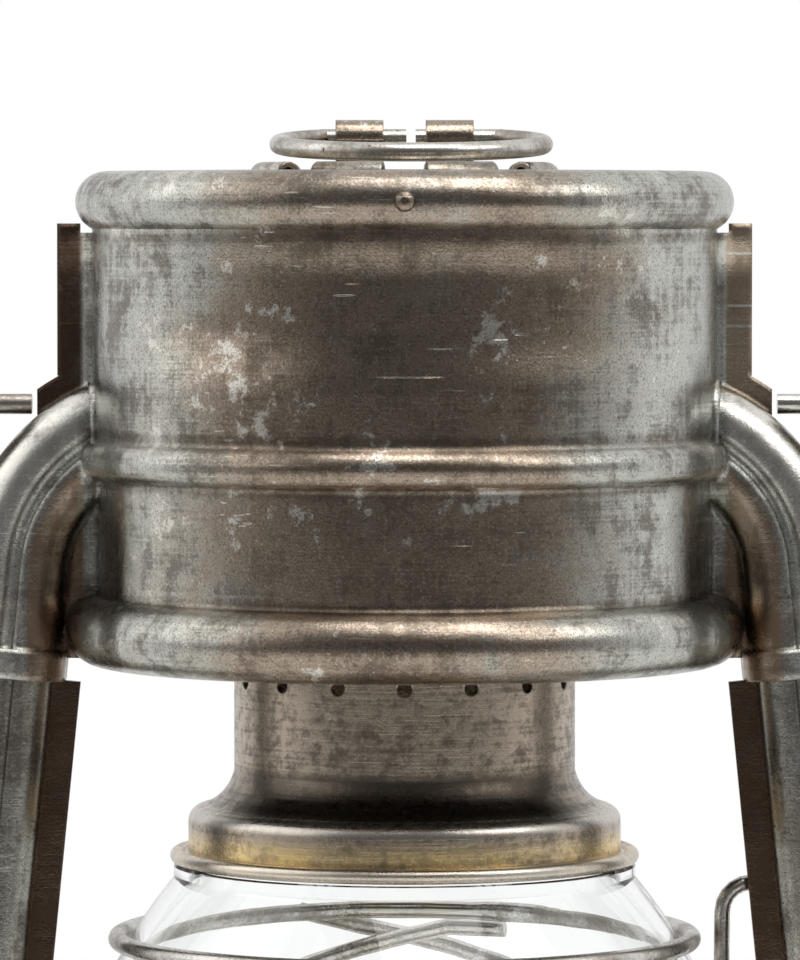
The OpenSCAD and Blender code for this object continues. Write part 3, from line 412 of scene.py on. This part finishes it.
    def tin_or_steel(self, g: Graph, patch: Socket, mottle: Socket) -> Socket:
        """Grey tin at the sides and brown bare steel in the middle of the front and the back.

        Args:
            g: The material's nodes.
            patch: Slow noise.
            mottle: Finer noise that breaks the edge.

        Returns:
            The colour.
        """
        middle = g.fit(g.size_of(Axis.X), *self.brown_x, 0.16, -0.14)
        ragged = g.sum(g.sum(patch, g.sum(mottle, 0.5, Op.TIMES)), middle)
        bare = g.fit(g.sum(ragged, self.brown_bias), 0.62, 0.88)
        return g.over(bare, self.grey, self.brown)

    def flakes(self, g: Graph, patch: Socket, mottle: Socket) -> Socket:
        """Pale flakes of tin with ragged, cracked edges.

        Args:
            g: The material's nodes.
            patch: Slow noise that gathers them.
            mottle: Finer noise that tears them.

        Returns:
            A mask from 0 to 1.
        """
        crackle = g.noise(520.0, 6.0, 0.75)
        torn = g.sum(g.sum(mottle, 0.5, Op.TIMES), g.sum(patch, 0.32, Op.TIMES))
        torn = g.sum(torn, g.sum(crackle, 0.18, Op.TIMES))
        return g.fit(torn, self.flake_at, self.flake_at + 0.03)

    def rust_mask(self, g: Graph, mottle: Socket) -> Socket:
        """Where rust shows: fine flecks everywhere, and more along the beads.

        Args:
            g: The material's nodes.
            mottle: Noise that gathers the flecks.

        Returns:
            A mask from 0 to 1.
        """
        fleck = g.noise(1.0, 4.0, 0.7, g.stretch((1500.0, 1500.0, 3100.0)))
        ring: Socket | float = 0.0
        for level in self.rust_rings:
            off = g.off(g.along(Axis.Z), level)
            ring = g.sum(ring, g.fit(off, 0.3 * MM, 1.5 * MM, 0.07, 0.0))
        near = g.sum(g.sum(fleck, g.sum(mottle, 0.25, Op.TIMES)), ring)
        return g.fit(near, 0.81, 0.88, 0.0, 0.6)

    def crease_shade_mask(self, g: Graph, mottle: Socket) -> Socket:
        """Broken dark lines of painted shade along the creases of the beads.

        Args:
            g: The material's nodes.
            mottle: Noise that breaks the lines.

        Returns:
            A mask from 0 to 1.
        """
        total: Socket | float = 0.0
        level = g.sum(g.along(Axis.Z), g.sum(mottle, 0.8 * MM, Op.TIMES))
        for ring in self.crease_shade_rings:
            off = g.off(level, ring + 0.4 * MM)
            total = g.sum(total, g.fit(off, 0.15 * MM, 0.9 * MM, 0.8, 0.0))
        return g.sum(total, g.fit(mottle, 0.36, 0.6, 1.0, 0.35), Op.TIMES)

    def flute_mask(self, g: Graph) -> Socket:
        """The inner half of the shoulders, below the middle bead.

        Args:
            g: The material's nodes.

        Returns:
            A mask from 0 to 1.
        """
        inner = g.fit(self.arm_reach(g), *self.flute_reach, 0.95, 0.0)
        return g.sum(inner, self.off_wall(g), Op.TIMES)

    def shoulder_highlight_mask(self, g: Graph, mottle: Socket) -> Socket:
        """The outer half of the shoulders, painted lighter as a highlight and as wear rubbed bright
        by hands.

        Args:
            g: The material's nodes.
            mottle: Noise that breaks the rubbing.

        Returns:
            A mask from 0 to 1.
        """
        outer = g.fit(self.arm_reach(g), *self.shoulder_highlight_reach)
        worn = g.sum(outer, g.fit(mottle, 0.38, 0.58, 0.35, 0.9), Op.TIMES)
        return g.sum(worn, self.off_wall(g), Op.TIMES)

    def off_wall(self, g: Graph) -> Socket:
        """What lies outside the drum's wall."""
        return g.fit(g.size_of(Axis.X), *self.off_wall_x)

    def arm_reach(self, g: Graph) -> Socket:
        """The distance from the middle of a shoulder's bend, or from the upright below it.

        Args:
            g: The material's nodes.

        Returns:
            The distance in metres.
        """
        across, up = self.arm
        side = g.sum(g.size_of(Axis.X), across, Op.MINUS)
        rise = g.sum(g.sum(g.along(Axis.Z), up, Op.MINUS), 0.0, Op.MOST)
        far = g.sum(g.sum(side, side, Op.TIMES), g.sum(rise, rise, Op.TIMES))
        return g.sum(far, 0.5, Op.POWER)

    def side_crease(self, g: Graph) -> Socket:
        """How far the wall is drawn in towards the shoulders, as a height from 0 to 1.

        Args:
            g: The material's nodes.

        Returns:
            The height, before it is scaled.
        """
        bent = g.fit(g.size_of(Axis.X), *self.crease_x, 1.0, 0.0)
        low = g.fit(g.along(Axis.Z), *self.crease_z, 1.0, 0.0)
        return g.sum(bent, low, Op.TIMES)

    def scratches(self, g: Graph) -> Socket:
        """Fine straight scratches in two directions.

        Args:
            g: The material's nodes.

        Returns:
            Their mask.
        """
        total: Socket | float = 0.0
        for turn in ((8.0, 62.0, 0.0), (-5.0, -48.0, 20.0)):
            thread = g.noise(1.0, 1.0, 0.5, g.stretch((16.0, 700.0, 2600.0), turn))
            total = g.sum(total, g.fit(thread, 0.72, 0.77))
        return g.sum(total, g.fit(g.noise(60.0, 2.0), 0.5, 0.64), Op.TIMES)

    def seam_mask(self, g: Graph) -> Socket:
        """Sheet that lies in the plane between the halves, outside the wall."""
        thin = g.fit(g.size_of(Axis.Y), *self.fin_y, 1.0, 0.0)
        out = g.fit(g.size_of(Axis.X), self.seam_from, self.seam_from + 0.8 * MM)
        return g.sum(thin, out, Op.TIMES)

    def rubbed_fin(self, g: Graph, mottle: Socket) -> Socket:
        """The fin on the right, rubbed brighter than the other.

        Args:
            g: The material's nodes.
            mottle: Noise that breaks the rubbing.

        Returns:
            A mask from 0 to 1.
        """
        right = g.fit(g.along(Axis.X), *self.right_x)
        high = g.fit(g.along(Axis.Z), *self.fin_rub_z)
        worn = g.fit(mottle, 0.38, 0.6, 0.45, 1.0)
        fin = g.sum(self.seam_mask(g), worn, Op.TIMES)
        return g.sum(fin, g.sum(right, high, Op.TIMES), Op.TIMES)

    def nick_mask(self, g: Graph) -> Socket:
        """Short bright nicks across the fin on the right.

        Args:
            g: The material's nodes.

        Returns:
            A mask from 0 to 1.
        """
        total: Socket | float = 0.0
        for level in self.nicks:
            off = g.off(g.along(Axis.Z), level)
            total = g.sum(total, g.fit(off, 0.08 * MM, 0.2 * MM, 0.9, 0.0))
        side = g.sum(g.fit(g.along(Axis.X), *self.right_x), self.seam_mask(g), Op.TIMES)
        return g.sum(total, side, Op.TIMES)

    def seam_colour(self, g: Graph, shade: Socket) -> Socket:
        """The seam's brown, broken by the same wear as the sheet."""
        return g.over(g.fit(shade, 0.46, 0.66, 0.0, 0.5), self.seam, self.brown)


@dataclass(frozen=True)
class HeatTint:
    """Chimney steel: brown and mottled, with painted shade in the cove and a painted highlight band
    on the skirt, straw above the plain foot.
    """

    name: str
    steel: Colour = (0.47, 0.395, 0.315)
    bright: Colour = (0.66, 0.62, 0.56)
    # Soot in the mottling, and also the colour of the painted shade in the cove.
    soot_and_shade: Colour = (0.11, 0.092, 0.074)
    straw: Colour = (0.92, 0.68, 0.30)
    foot_top: float = 186.0 * MM
    straw_top: float = 187.9 * MM
    # Level and half width of a painted highlight band round the skirt.
    rub_and_highlight: tuple[float, float] = (189.9 * MM, 1.1 * MM)
    cove_low: float = 190.9 * MM
    cove_high: float = 195.0 * MM

    def make(self) -> bpy.types.Material:
        """Build the material.

        Returns:
            The finished material.
        """
        g = Graph(self.name)
        cloud = g.noise(75.0, 5.0, 0.6)
        mottle = g.noise(620.0, 8.0, 0.8)
        drawn = g.noise(1.0, 5.0, 0.7, g.stretch((60.0, 60.0, 2600.0)))
        worn = g.sum(g.sum(mottle, 0.55, Op.TIMES), g.sum(cloud, 0.22, Op.TIMES))
        worn = g.sum(worn, g.sum(drawn, 0.23, Op.TIMES))
        tone = g.over(g.fit(worn, 0.42, 0.54, 0.85, 0.0), self.steel, self.soot_and_shade)
        # Painted highlight: a bright band round the skirt's round.
        off = g.off(g.along(Axis.Z), self.rub_and_highlight[0])
        tone = g.over(g.fit(off, 0.3 * MM, self.rub_and_highlight[1], 0.85, 0.0), tone, self.bright)
        # Painted shade in the cove, standing in for the reflection of the hood's dark inside.
        tone = g.over(self.cove_shade_mask(g, mottle), tone, self.soot_and_shade)
        tone = g.over(self.straw_mask(g, cloud, mottle), tone, self.straw)
        foot = g.fit(g.along(Axis.Z), self.foot_top - 0.3 * MM, self.foot_top, 0.8, 0.0)
        tone = g.over(foot, tone, self.bright)
        g.set("Base Color", tone)
        g.set("Metallic", 1.0)
        g.set("Roughness", g.fit(worn, 0.38, 0.62, 0.36, 0.2))
        dents = g.relief(g.noise(60.0, 2.0), 0.35 * MM, g.soft_edge(0.3 * MM))
        g.set("Normal", g.relief(g.sum(drawn, mottle), 0.03 * MM, dents))
        return g.material

    def cove_shade_mask(self, g: Graph, mottle: Socket) -> Socket:
        """The painted shade in the cove, standing in for the hood's dark inside that the cove
        reflects, fading at the sides.

        Args:
            g: The material's nodes.
            mottle: Noise that breaks its edges.

        Returns:
            A mask from 0 to 1.
        """
        level = g.sum(g.along(Axis.Z), g.sum(mottle, 1.2 * MM, Op.TIMES))
        above = g.fit(level, self.cove_low, self.cove_low + 1.2 * MM)
        below = g.fit(level, self.cove_high, self.cove_high + 1.6 * MM, 0.9, 0.0)
        side = g.fit(g.size_of(Axis.X), 13.0 * MM, 21.0 * MM, 1.0, 0.3)
        return g.sum(g.sum(above, below, Op.TIMES), side, Op.TIMES)

    def straw_mask(self, g: Graph, cloud: Socket, mottle: Socket) -> Socket:
        """The patchy straw tint on the skirt.

        Args:
            g: The material's nodes.
            cloud: Slow noise that makes it come and go.
            mottle: Finer noise that breaks its upper edge.

        Returns:
            A mask from 0 to 1.
        """
        level = g.sum(g.along(Axis.Z), g.sum(mottle, 2.0 * MM, Op.TIMES))
        below = g.fit(level, self.straw_top - 0.2 * MM, self.straw_top + 1.9 * MM, 1.0, 0.0)
        patchy = g.fit(cloud, 0.36, 0.6, 0.2, 0.9)
        fine = g.fit(mottle, 0.4, 0.56, 0.5, 1.0)
        return g.sum(below, g.sum(patchy, fine, Op.TIMES), Op.TIMES)


@dataclass(frozen=True)
class DrawnWire:
    """Drawn steel wire, bright where hands rub it and dull in between."""

    name: str
    bright: Colour = (0.62, 0.60, 0.56)
    dull: Colour = (0.30, 0.265, 0.225)
    rough: tuple[float, float] = (0.2, 0.44)

    def make(self) -> bpy.types.Material:
        """Build the material.

        Returns:
            The finished material.
        """
        g = Graph(self.name)
        rub_and_highlight = g.noise(110.0, 7.0, 0.7)
        speck = g.noise(2600.0, 3.0, 0.6)
        worn = g.sum(g.sum(rub_and_highlight, 0.7, Op.TIMES), g.sum(speck, 0.3, Op.TIMES))
        tone = g.over(g.fit(worn, 0.38, 0.6), self.dull, self.bright)
        spot = g.fit(g.noise(900.0, 4.0), 0.66, 0.74)
        g.set("Base Color", g.over(spot, tone, (0.16, 0.09, 0.045)))
        g.set("Metallic", 1.0)
        g.set("Roughness", g.fit(worn, 0.35, 0.62, self.rough[1], self.rough[0]))
        g.set("Normal", g.relief(g.sum(rub_and_highlight, speck), 0.02 * MM))
        return g.material


@dataclass(frozen=True)
class OldBrass:
    """Burner brass, gold where bright and brown where tarnished."""

    name: str
    bright: Colour = (0.72, 0.53, 0.25)
    tarnish: Colour = (0.25, 0.15, 0.065)

    def make(self) -> bpy.types.Material:
        """Build the material.

        Returns:
            The finished material.
        """
        g = Graph(self.name)
        cloud = g.noise(120.0, 8.0, 0.7)
        turned = g.noise(1.0, 4.0, 0.6, g.stretch((50.0, 50.0, 2000.0)))
        worn = g.sum(g.sum(cloud, 0.7, Op.TIMES), g.sum(turned, 0.3, Op.TIMES))
        tone = g.over(g.fit(worn, 0.38, 0.6), self.tarnish, self.bright)
        dirt = g.fit(g.noise(700.0, 5.0, 0.7), 0.6, 0.7, 0.0, 0.7)
        g.set("Base Color", g.over(dirt, tone, (0.10, 0.06, 0.03)))
        g.set("Metallic", 1.0)
        g.set("Roughness", g.fit(worn, 0.35, 0.62, 0.5, 0.24))
        g.set("Normal", g.relief(g.sum(cloud, turned), 0.02 * MM, g.soft_edge(0.2 * MM)))
        return g.material


@dataclass(frozen=True)
class ClearGlass:
    """Blown globe glass with slow ripples and a breath of dust."""

    name: str
    tint: Colour = (0.985, 0.995, 0.99)

    def make(self) -> bpy.types.Material:
        """Build the material.

        Returns:
            The finished material.
        """
        g = Graph(self.name)
        g.set("Base Color", self.tint)
        g.set("Transmission Weight", 1.0)
        g.set("IOR", 1.32)
        g.set("Roughness", g.fit(g.noise(160.0, 6.0, 0.7), 0.5, 0.75, 0.0, 0.05))
        ripple = g.noise(1.0, 2.0, 0.5, g.stretch((45.0, 45.0, 18.0)))
        g.set("Normal", g.relief(ripple, 0.12 * MM))
        return g.material


@dataclass(frozen=True)
class WovenWick:
    """Flat cotton wick, woven in cords and charred at its lit end."""

    name: str
    cotton: Colour = (0.74, 0.68, 0.55)
    char: Colour = (0.03, 0.025, 0.02)
    char_from: float = 106.5 * MM

    def make(self) -> bpy.types.Material:
        """Build the material.

        Returns:
            The finished material.
        """
        g = Graph(self.name)
        cords = g.noise(1.0, 2.0, 0.5, g.stretch((900.0, 1500.0, 300.0)))
        tone = g.over(g.fit(cords, 0.35, 0.65), (0.5, 0.44, 0.33), self.cotton)
        edge = g.sum(g.along(Axis.Z), g.sum(cords, 2.0 * MM, Op.TIMES))
        burnt = g.fit(edge, self.char_from, self.char_from + 2.0 * MM)
        g.set("Base Color", g.over(burnt, tone, self.char))
        g.set("Roughness", 0.9)
        g.set("Normal", g.relief(cords, 0.2 * MM))
        return g.material


@dataclass(frozen=True)
class SealRubber:
    """Dull black sealing ring with a fine grain."""

    name: str
    black: Colour = (0.03, 0.028, 0.026)

    def make(self) -> bpy.types.Material:
        """Build the material.

        Returns:
            The finished material.
        """
        g = Graph(self.name)
        grain = g.noise(1400.0, 4.0)
        g.set("Base Color", g.over(g.fit(grain, 0.4, 0.7), self.black, (0.07, 0.065, 0.06)))
        g.set("Roughness", 0.75)
        g.set("Normal", g.relief(grain, 0.03 * MM))
        return g.material


Finish = AgedTin | HeatTint | DrawnWire | OldBrass | ClearGlass | WovenWick | SealRubber


class Paintbox:
    """The lantern's finishes, each made once and handed out by slot."""

    def __init__(self) -> None:
        """Make every finish."""
        umber: Colour = (0.095, 0.062, 0.042)
        finishes: dict[str, Finish] = {
            "hood_steel": AgedTin(
                "aged_hood",
                seam=umber,
                rust_rings=(230.4 * MM,),
                steps=((248.0 * MM, 253.2 * MM, 0.55 * MM),),
                # Painted shade lines under the lid bead, at the middle bead and above the mouth
                # bead.
                crease_shade_rings=(252.4 * MM, 225.9 * MM, 231.2 * MM, 213.8 * MM),
                arm=(25.6 * MM, 215.6 * MM),
                nicks=(250.7 * MM, 245.0 * MM, 242.8 * MM),
                edge=0.9 * MM,
            ),
            # The lid gets a painted shade line under its bead.
            "lid_steel": AgedTin("aged_lid", brown_bias=-0.07, crease_shade_rings=(253.4 * MM,)),
            "tube_steel": AgedTin(
                "aged_tube",
                grey=(0.36, 0.355, 0.32),
                brown=(0.24, 0.185, 0.14),
                seam=umber,
                seam_from=30.0 * MM,
                flake_at=0.6,
            ),
            "tank_steel": AgedTin("aged_tank", rust_rings=(1.5 * MM, 44.5 * MM)),
            "cap_steel": AgedTin("aged_cap", brown_bias=-0.1),
            "chamber_steel": AgedTin("aged_chamber", brown_bias=0.05),
            "rivet_steel": AgedTin("worn_rivet", flake_at=0.6),
            "lug_steel": AgedTin("aged_lug", brown_bias=0.05),
            "inner_steel": AgedTin(
                "sooty_sleeve", grey=(0.16, 0.15, 0.135), brown=(0.08, 0.065, 0.05), flake_at=0.66
            ),
            "spring_steel": DrawnWire("spring_wire"),
            "wire_steel": DrawnWire("lantern_wire"),
            "chimney_steel": HeatTint("heat_tinted"),
            "burner_brass": OldBrass("old_brass"),
            "globe_glass": ClearGlass("globe_glass"),
            "wick_cotton": WovenWick("wick_weave"),
            "gasket_rubber": SealRubber("seal_rubber"),
        }
        self.made = {slot: finish.make() for slot, finish in finishes.items()}

    def paint(self, piece: bpy.types.Object, slot: str) -> None:
        """Give a piece the finish of a slot.

        Args:
            piece: The object to paint.
            slot: The record's material slot.
        """
        piece.data.materials.clear()
        piece.data.materials.append(self.made[slot])


@dataclass
class Workshop:
    """What the sub-assemblies share: the frame, its slots and the paints."""

    frame: dict
    paints: Paintbox
    slots: dict[str, str] = field(default_factory=dict)

    def __post_init__(self) -> None:
        """Read each node's slot from the record."""
        self.slots = {s["node"]: s["material_slot"] for s in self.frame["record"]["subparts"]}

    def node(self, name: str) -> bpy.types.Object:
        """The CAD object of that name."""
        return self.frame["nodes"][name]

    def dress(self, *names: str) -> None:
        """Paint CAD nodes that keep their own mesh.

        Args:
            names: The nodes.
        """
        for name in names:
            self.paints.paint(self.node(name), self.slots[name])
            LOG.info("dressed %s", name)

    def stand_for(self, piece: bpy.types.Object, node: str) -> None:
        """Let a finer mesh take a CAD node's place, body and finish.

        Args:
            piece: The new object, in place.
            node: The node that it replaces.
        """
        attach(piece, self.node(node)["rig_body"])
        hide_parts(node)
        self.paints.paint(piece, self.slots[node])
        LOG.info("built %s", piece.name)

    def add_rod(self, name: str, path: list[Vector], radius: float, body: str, slot: str) -> None:
        """Add a round rod along a smooth curve through the points of a path.

        Args:
            name: Name of the new piece.
            path: The points, from end to end.
            radius: The rod's radius.
            body: The CAD body that it rides on.
            slot: The material slot that it is painted from.
        """
        curve = bpy.data.curves.new(name, "CURVE")
        curve.dimensions = "3D"
        curve.bevel_depth = radius
        curve.bevel_resolution = 4
        curve.use_fill_caps = True
        spline = curve.splines.new("NURBS")
        spline.points.add(len(path) - 1)
        for point, place in zip(spline.points, path):
            point.co = (*place, 1.0)
        spline.use_endpoint_u = True
        spline.order_u = 4
        spline.resolution_u = 6
        guide = bpy.data.objects.new(name + "_guide", curve)
        bpy.context.scene.collection.objects.link(guide)
        graph = bpy.context.evaluated_depsgraph_get()
        mesh = bpy.data.meshes.new_from_object(guide.evaluated_get(graph))
        bpy.data.objects.remove(guide)
        piece = self.smooth_piece(name, mesh)
        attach(piece, body)
        self.paints.paint(piece, slot)
        LOG.info("added %s", name)

    def smooth_wire(self, node: str) -> bpy.types.Object:
        """Put a merged, smooth-shaded copy in the place of a swept wire.

        Args:
            node: The wire's CAD node.

        Returns:
            The new object.
        """
        mesh = self.node(node).data.copy()
        mesh.name = "smooth_" + node
        shape = bmesh.new()
        shape.from_mesh(mesh)
        bmesh.ops.remove_doubles(shape, verts=shape.verts, dist=MERGE)
        shape.to_mesh(mesh)
        shape.free()
        piece = self.smooth_piece("smooth_" + node, mesh)
        self.stand_for(piece, node)
        return piece

    def smooth_piece(self, name: str, mesh: bpy.types.Mesh) -> bpy.types.Object:
        """Shade a mesh smooth, but for its sharp edges, and put it into the scene.

        Args:
            name: Name of the new piece.
            mesh: Its mesh.

        Returns:
            The new object.
        """
        mesh.polygons.foreach_set("use_smooth", [True] * len(mesh.polygons))
        mesh.set_sharp_from_angle(angle=math.radians(CREASE))
        piece = bpy.data.objects.new(name, mesh)
        bpy.context.scene.collection.objects.link(piece)
        return piece


@dataclass
class Studio:
    """Pale floor, white surround that is grey on the camera's side, soft lamps and the camera."""

    floor_r: float = 0.9
    floor_sides: int = 96
    floor_tones: tuple[Colour, Colour] = ((0.80, 0.80, 0.79), (0.86, 0.86, 0.85))
    eye: Point = (-0.0005, -0.7, 0.2548)
    aim: Point = (-0.0005, 0.0, 0.226)
    lens: float = 241.0
    surround: tuple[Span, ...] = (
        (0.04, 0.13),
        (0.27, 0.31),
        (0.50, 0.80),
        (0.66, 1.04),
        (0.92, 0.84),
    )
    lamps: tuple[tuple[str, Point, float, float], ...] = (
        ("top_lamp", (0.12, -0.35, 1.25), 0.7, 6.2),
        ("left_lamp", (-1.1, -0.3, 0.95), 1.3, 4.2),
        ("right_lamp", (0.75, -0.4, 0.95), 0.6, 3.2),
    )
    lamp_aim: Point = (0.0, 0.0, 0.2)

    def build(self) -> None:
        """Make the floor, the surround, the lamps and the camera."""
        self.make_floor()
        self.make_world()
        for name, place, size, watts in self.lamps:
            self.lamp(name, place, size, watts)
        self.make_camera()
        bpy.context.scene.view_settings.view_transform = "Standard"

    def make_floor(self) -> None:
        """A round pale floor with a faint mottle."""
        mesh = bpy.data.meshes.new("floor")
        shape = bmesh.new()
        bmesh.ops.create_circle(
            shape, cap_ends=True, radius=self.floor_r, segments=self.floor_sides
        )
        shape.to_mesh(mesh)
        shape.free()
        floor = bpy.data.objects.new("floor", mesh)
        bpy.context.scene.collection.objects.link(floor)
        g = Graph("pale_floor")
        g.set("Base Color", g.over(g.noise(9.0, 4.0), *self.floor_tones))
        g.set("Roughness", 0.8)
        mesh.materials.append(g.material)

    def make_world(self) -> None:
        """White for the camera; for reflections white behind and beside, grey in front."""
        world = bpy.data.worlds.new("surround")
        bpy.context.scene.world = world
        world.use_nodes = True
        tree = world.node_tree
        tree.nodes.clear()
        add = tree.nodes.new
        link = tree.links.new
        split = add("ShaderNodeSeparateXYZ")
        link(add("ShaderNodeTexCoord").outputs["Generated"], split.inputs[0])
        ramp = add("ShaderNodeValToRGB")
        span = add("ShaderNodeMapRange")
        span.inputs["From Min"].default_value = -1.0
        link(split.outputs[1], span.inputs["Value"])
        link(span.outputs[0], ramp.inputs[0])
        stops = ramp.color_ramp.elements
        stops.remove(stops[1])
        for place, level in self.surround:
            stop = stops.new(place)
            stop.color = (level, level, level, 1.0)
        stops.remove(stops[0])
        rays = add("ShaderNodeLightPath")
        seen = add("ShaderNodeMath")
        seen.operation = Op.MOST.value
        link(rays.outputs["Is Camera Ray"], seen.inputs[0])
        link(rays.outputs["Is Transmission Ray"], seen.inputs[1])
        mix = add("ShaderNodeMix")
        mix.data_type = "RGBA"
        link(seen.outputs[0], mix.inputs[0])
        link(ramp.outputs[0], mix.inputs[6])
        mix.inputs[7].default_value = (1.0, 1.0, 1.0, 1.0)
        ground = add("ShaderNodeBackground")
        link(mix.outputs[2], ground.inputs["Color"])
        link(ground.outputs[0], add("ShaderNodeOutputWorld").inputs[0])

    def lamp(self, name: str, place: Point, size: float, watts: float) -> None:
        """A square soft lamp that faces the hood.

        Args:
            name: The lamp's name.
            place: Where it hangs.
            size: Side of the square.
            watts: Its power.
        """
        data = bpy.data.lights.new(name, "AREA")
        data.size, data.energy = size, watts
        light = bpy.data.objects.new(name, data)
        light.location = place
        away = Vector(place) - Vector(self.lamp_aim)
        light.rotation_euler = away.to_track_quat("Z", "Y").to_euler()
        bpy.context.scene.collection.objects.link(light)

    def make_camera(self) -> None:
        """The camera at the photograph's angle."""
        data = bpy.data.cameras.new("camera")
        data.sensor_width, data.lens = 36.0, self.lens
        camera = bpy.data.objects.new("camera", data)
        camera.location = self.eye
        look = Vector(self.aim) - Vector(self.eye)
        camera.rotation_euler = look.to_track_quat("-Z", "Y").to_euler()
        bpy.context.scene.collection.objects.link(camera)
        bpy.context.scene.camera = camera


@dataclass
class Hood:
    """Pressed hood halves, lid, rivets, sleeve and spring, and the solder round the shoulders."""

    sheet: tuple[str, ...] = ("hood_front", "hood_rear", "hood_lid", "lid_rivets", "flue_sleeve")
    wall_r: float = 34.0 * MM
    bend_x: float = 25.6 * MM
    bend_z: float = 215.6 * MM
    bend_r: float = 16.75 * MM
    half_w: float = 5.85 * MM
    half_d: float = 6.15 * MM
    corner_r: float = 4.05 * MM
    solder_r: float = 0.55 * MM
    corner_steps: int = 6
    spring_top: Point = (0.0, 0.0, 258.5 * MM)
    spring_keep: float = 0.3

    def build(self, shop: Workshop) -> None:
        """Dress the sheet, lay the solder and make the spring as a smooth copy with its own mesh,
        left as modelled, though the rising carriage squeezes it.

        Args:
            shop: The shared workshop.
        """
        shop.dress(*self.sheet)
        spring = shop.smooth_wire("chimney_spring")
        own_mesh(spring)
        for side, half in itertools.product(Side, Half):
            name = f"shoulder_solder_{side.name.lower()}_{half.name.lower()}"
            path = [Vector((side.value * p.x, half.value * p.y, p.z)) for p in self.root_line()]
            shop.add_rod(name, path, self.solder_r, "frame", "hood_steel")

    def root_line(self) -> list[Vector]:
        """Where a shoulder's rounded box runs into the drum, on one quarter.

        Returns:
            The points, from the seam at the top down along the flat side.
        """
        flat_w, flat_d = self.half_w - self.corner_r, self.half_d - self.corner_r
        turns = [math.radians(90.0 * k / self.corner_steps) for k in range(self.corner_steps + 1)]
        outline = [(self.half_w, 1.3 * MM)]
        outline += [
            (flat_w + self.corner_r * math.cos(t), flat_d + self.corner_r * math.sin(t))
            for t in turns
        ]
        outline += [(0.5 * flat_w, self.half_d), (-0.6 * flat_w, self.half_d)]
        return [self.on_drum(out, deep) for out, deep in outline]

    def on_drum(self, out: float, deep: float) -> Vector:
        """The drum's point that a line of the shoulder's outside runs into.

        Args:
            out: The line's distance beyond the bend's middle line.
            deep: Its distance from the seam.

        Returns:
            The point, at plus X and plus Y.
        """
        across = math.sqrt(self.wall_r**2 - deep**2)
        rise = math.sqrt((self.bend_r + out) ** 2 - (across - self.bend_x) ** 2)
        return Vector((across, deep, self.bend_z + rise))


@dataclass
class Chimney:
    """Sliding chimney with its bridge and lift ring."""

    pieces: tuple[str, ...] = ("chimney", "lift_bridge", "lift_ring")

    def build(self, shop: Workshop) -> None:
        """Dress the chimney, the bridge and the ring.

        Args:
            shop: The shared workshop.
        """
        shop.dress(*self.pieces)


@dataclass
class Carriage:
    """Globe on its plate, with the wire guard and the hook wire."""

    plain: tuple[str, ...] = ("globe", "globe_plate", "guard_ring")
    wires: tuple[str, ...] = (
        "guard_wire_front_under",
        "guard_wire_front_over",
        "guard_wire_rear_under",
        "guard_wire_rear_over",
        "hook_wire_right",
    )

    def build(self, shop: Workshop) -> None:
        """Dress the glass, the plate and the ring, and smooth the wires.

        Args:
            shop: The shared workshop.
        """
        shop.dress(*self.plain)
        for wire in self.wires:
            shop.smooth_wire(wire)


@dataclass
class SideFrame:
    """Air tubes, bail with its ears, and the lift lever."""

    pieces: tuple[str, ...] = (
        "air_tube_left",
        "air_tube_right",
        "bail",
        "bail_ear_left",
        "bail_ear_right",
        "lever_pivot",
        "lift_lever",
    )

    def build(self, shop: Workshop) -> None:
        """Dress the tubes, the bail and the lever.

        Args:
            shop: The shared workshop.
        """
        shop.dress(*self.pieces)


@dataclass
class Burner:
    """Air chamber, burner and wick gear."""

    pieces: tuple[str, ...] = (
        "air_chamber",
        "burner_collar",
        "burner_deck",
        "burner_body",
        "burner_cone",
        "wick",
        "wick_shaft",
        "wick_knob",
    )

    def build(self, shop: Workshop) -> None:
        """Dress the chamber, the brass and the wick.

        Args:
            shop: The shared workshop.
        """
        shop.dress(*self.pieces)


@dataclass
class Tank:
    """Fuel tank with its filler."""

    pieces: tuple[str, ...] = (
        "tank_shell",
        "tank_top",
        "tank_bottom",
        "filler_neck",
        "filler_cap",
        "cap_gasket",
    )

    def build(self, shop: Workshop) -> None:
        """Dress the tank and the filler.

        Args:
            shop: The shared workshop.
        """
        shop.dress(*self.pieces)


def main() -> None:
    """Build the lantern on its frame."""
    logging.basicConfig(level=logging.INFO, format="%(name)s: %(message)s")
    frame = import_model()
    shop = Workshop(frame, Paintbox())
    for assembly in (Tank(), Burner(), SideFrame(), Carriage(), Chimney(), Hood()):
        assembly.build(shop)
    Studio().build()


if __name__ == "__main__":
    main()
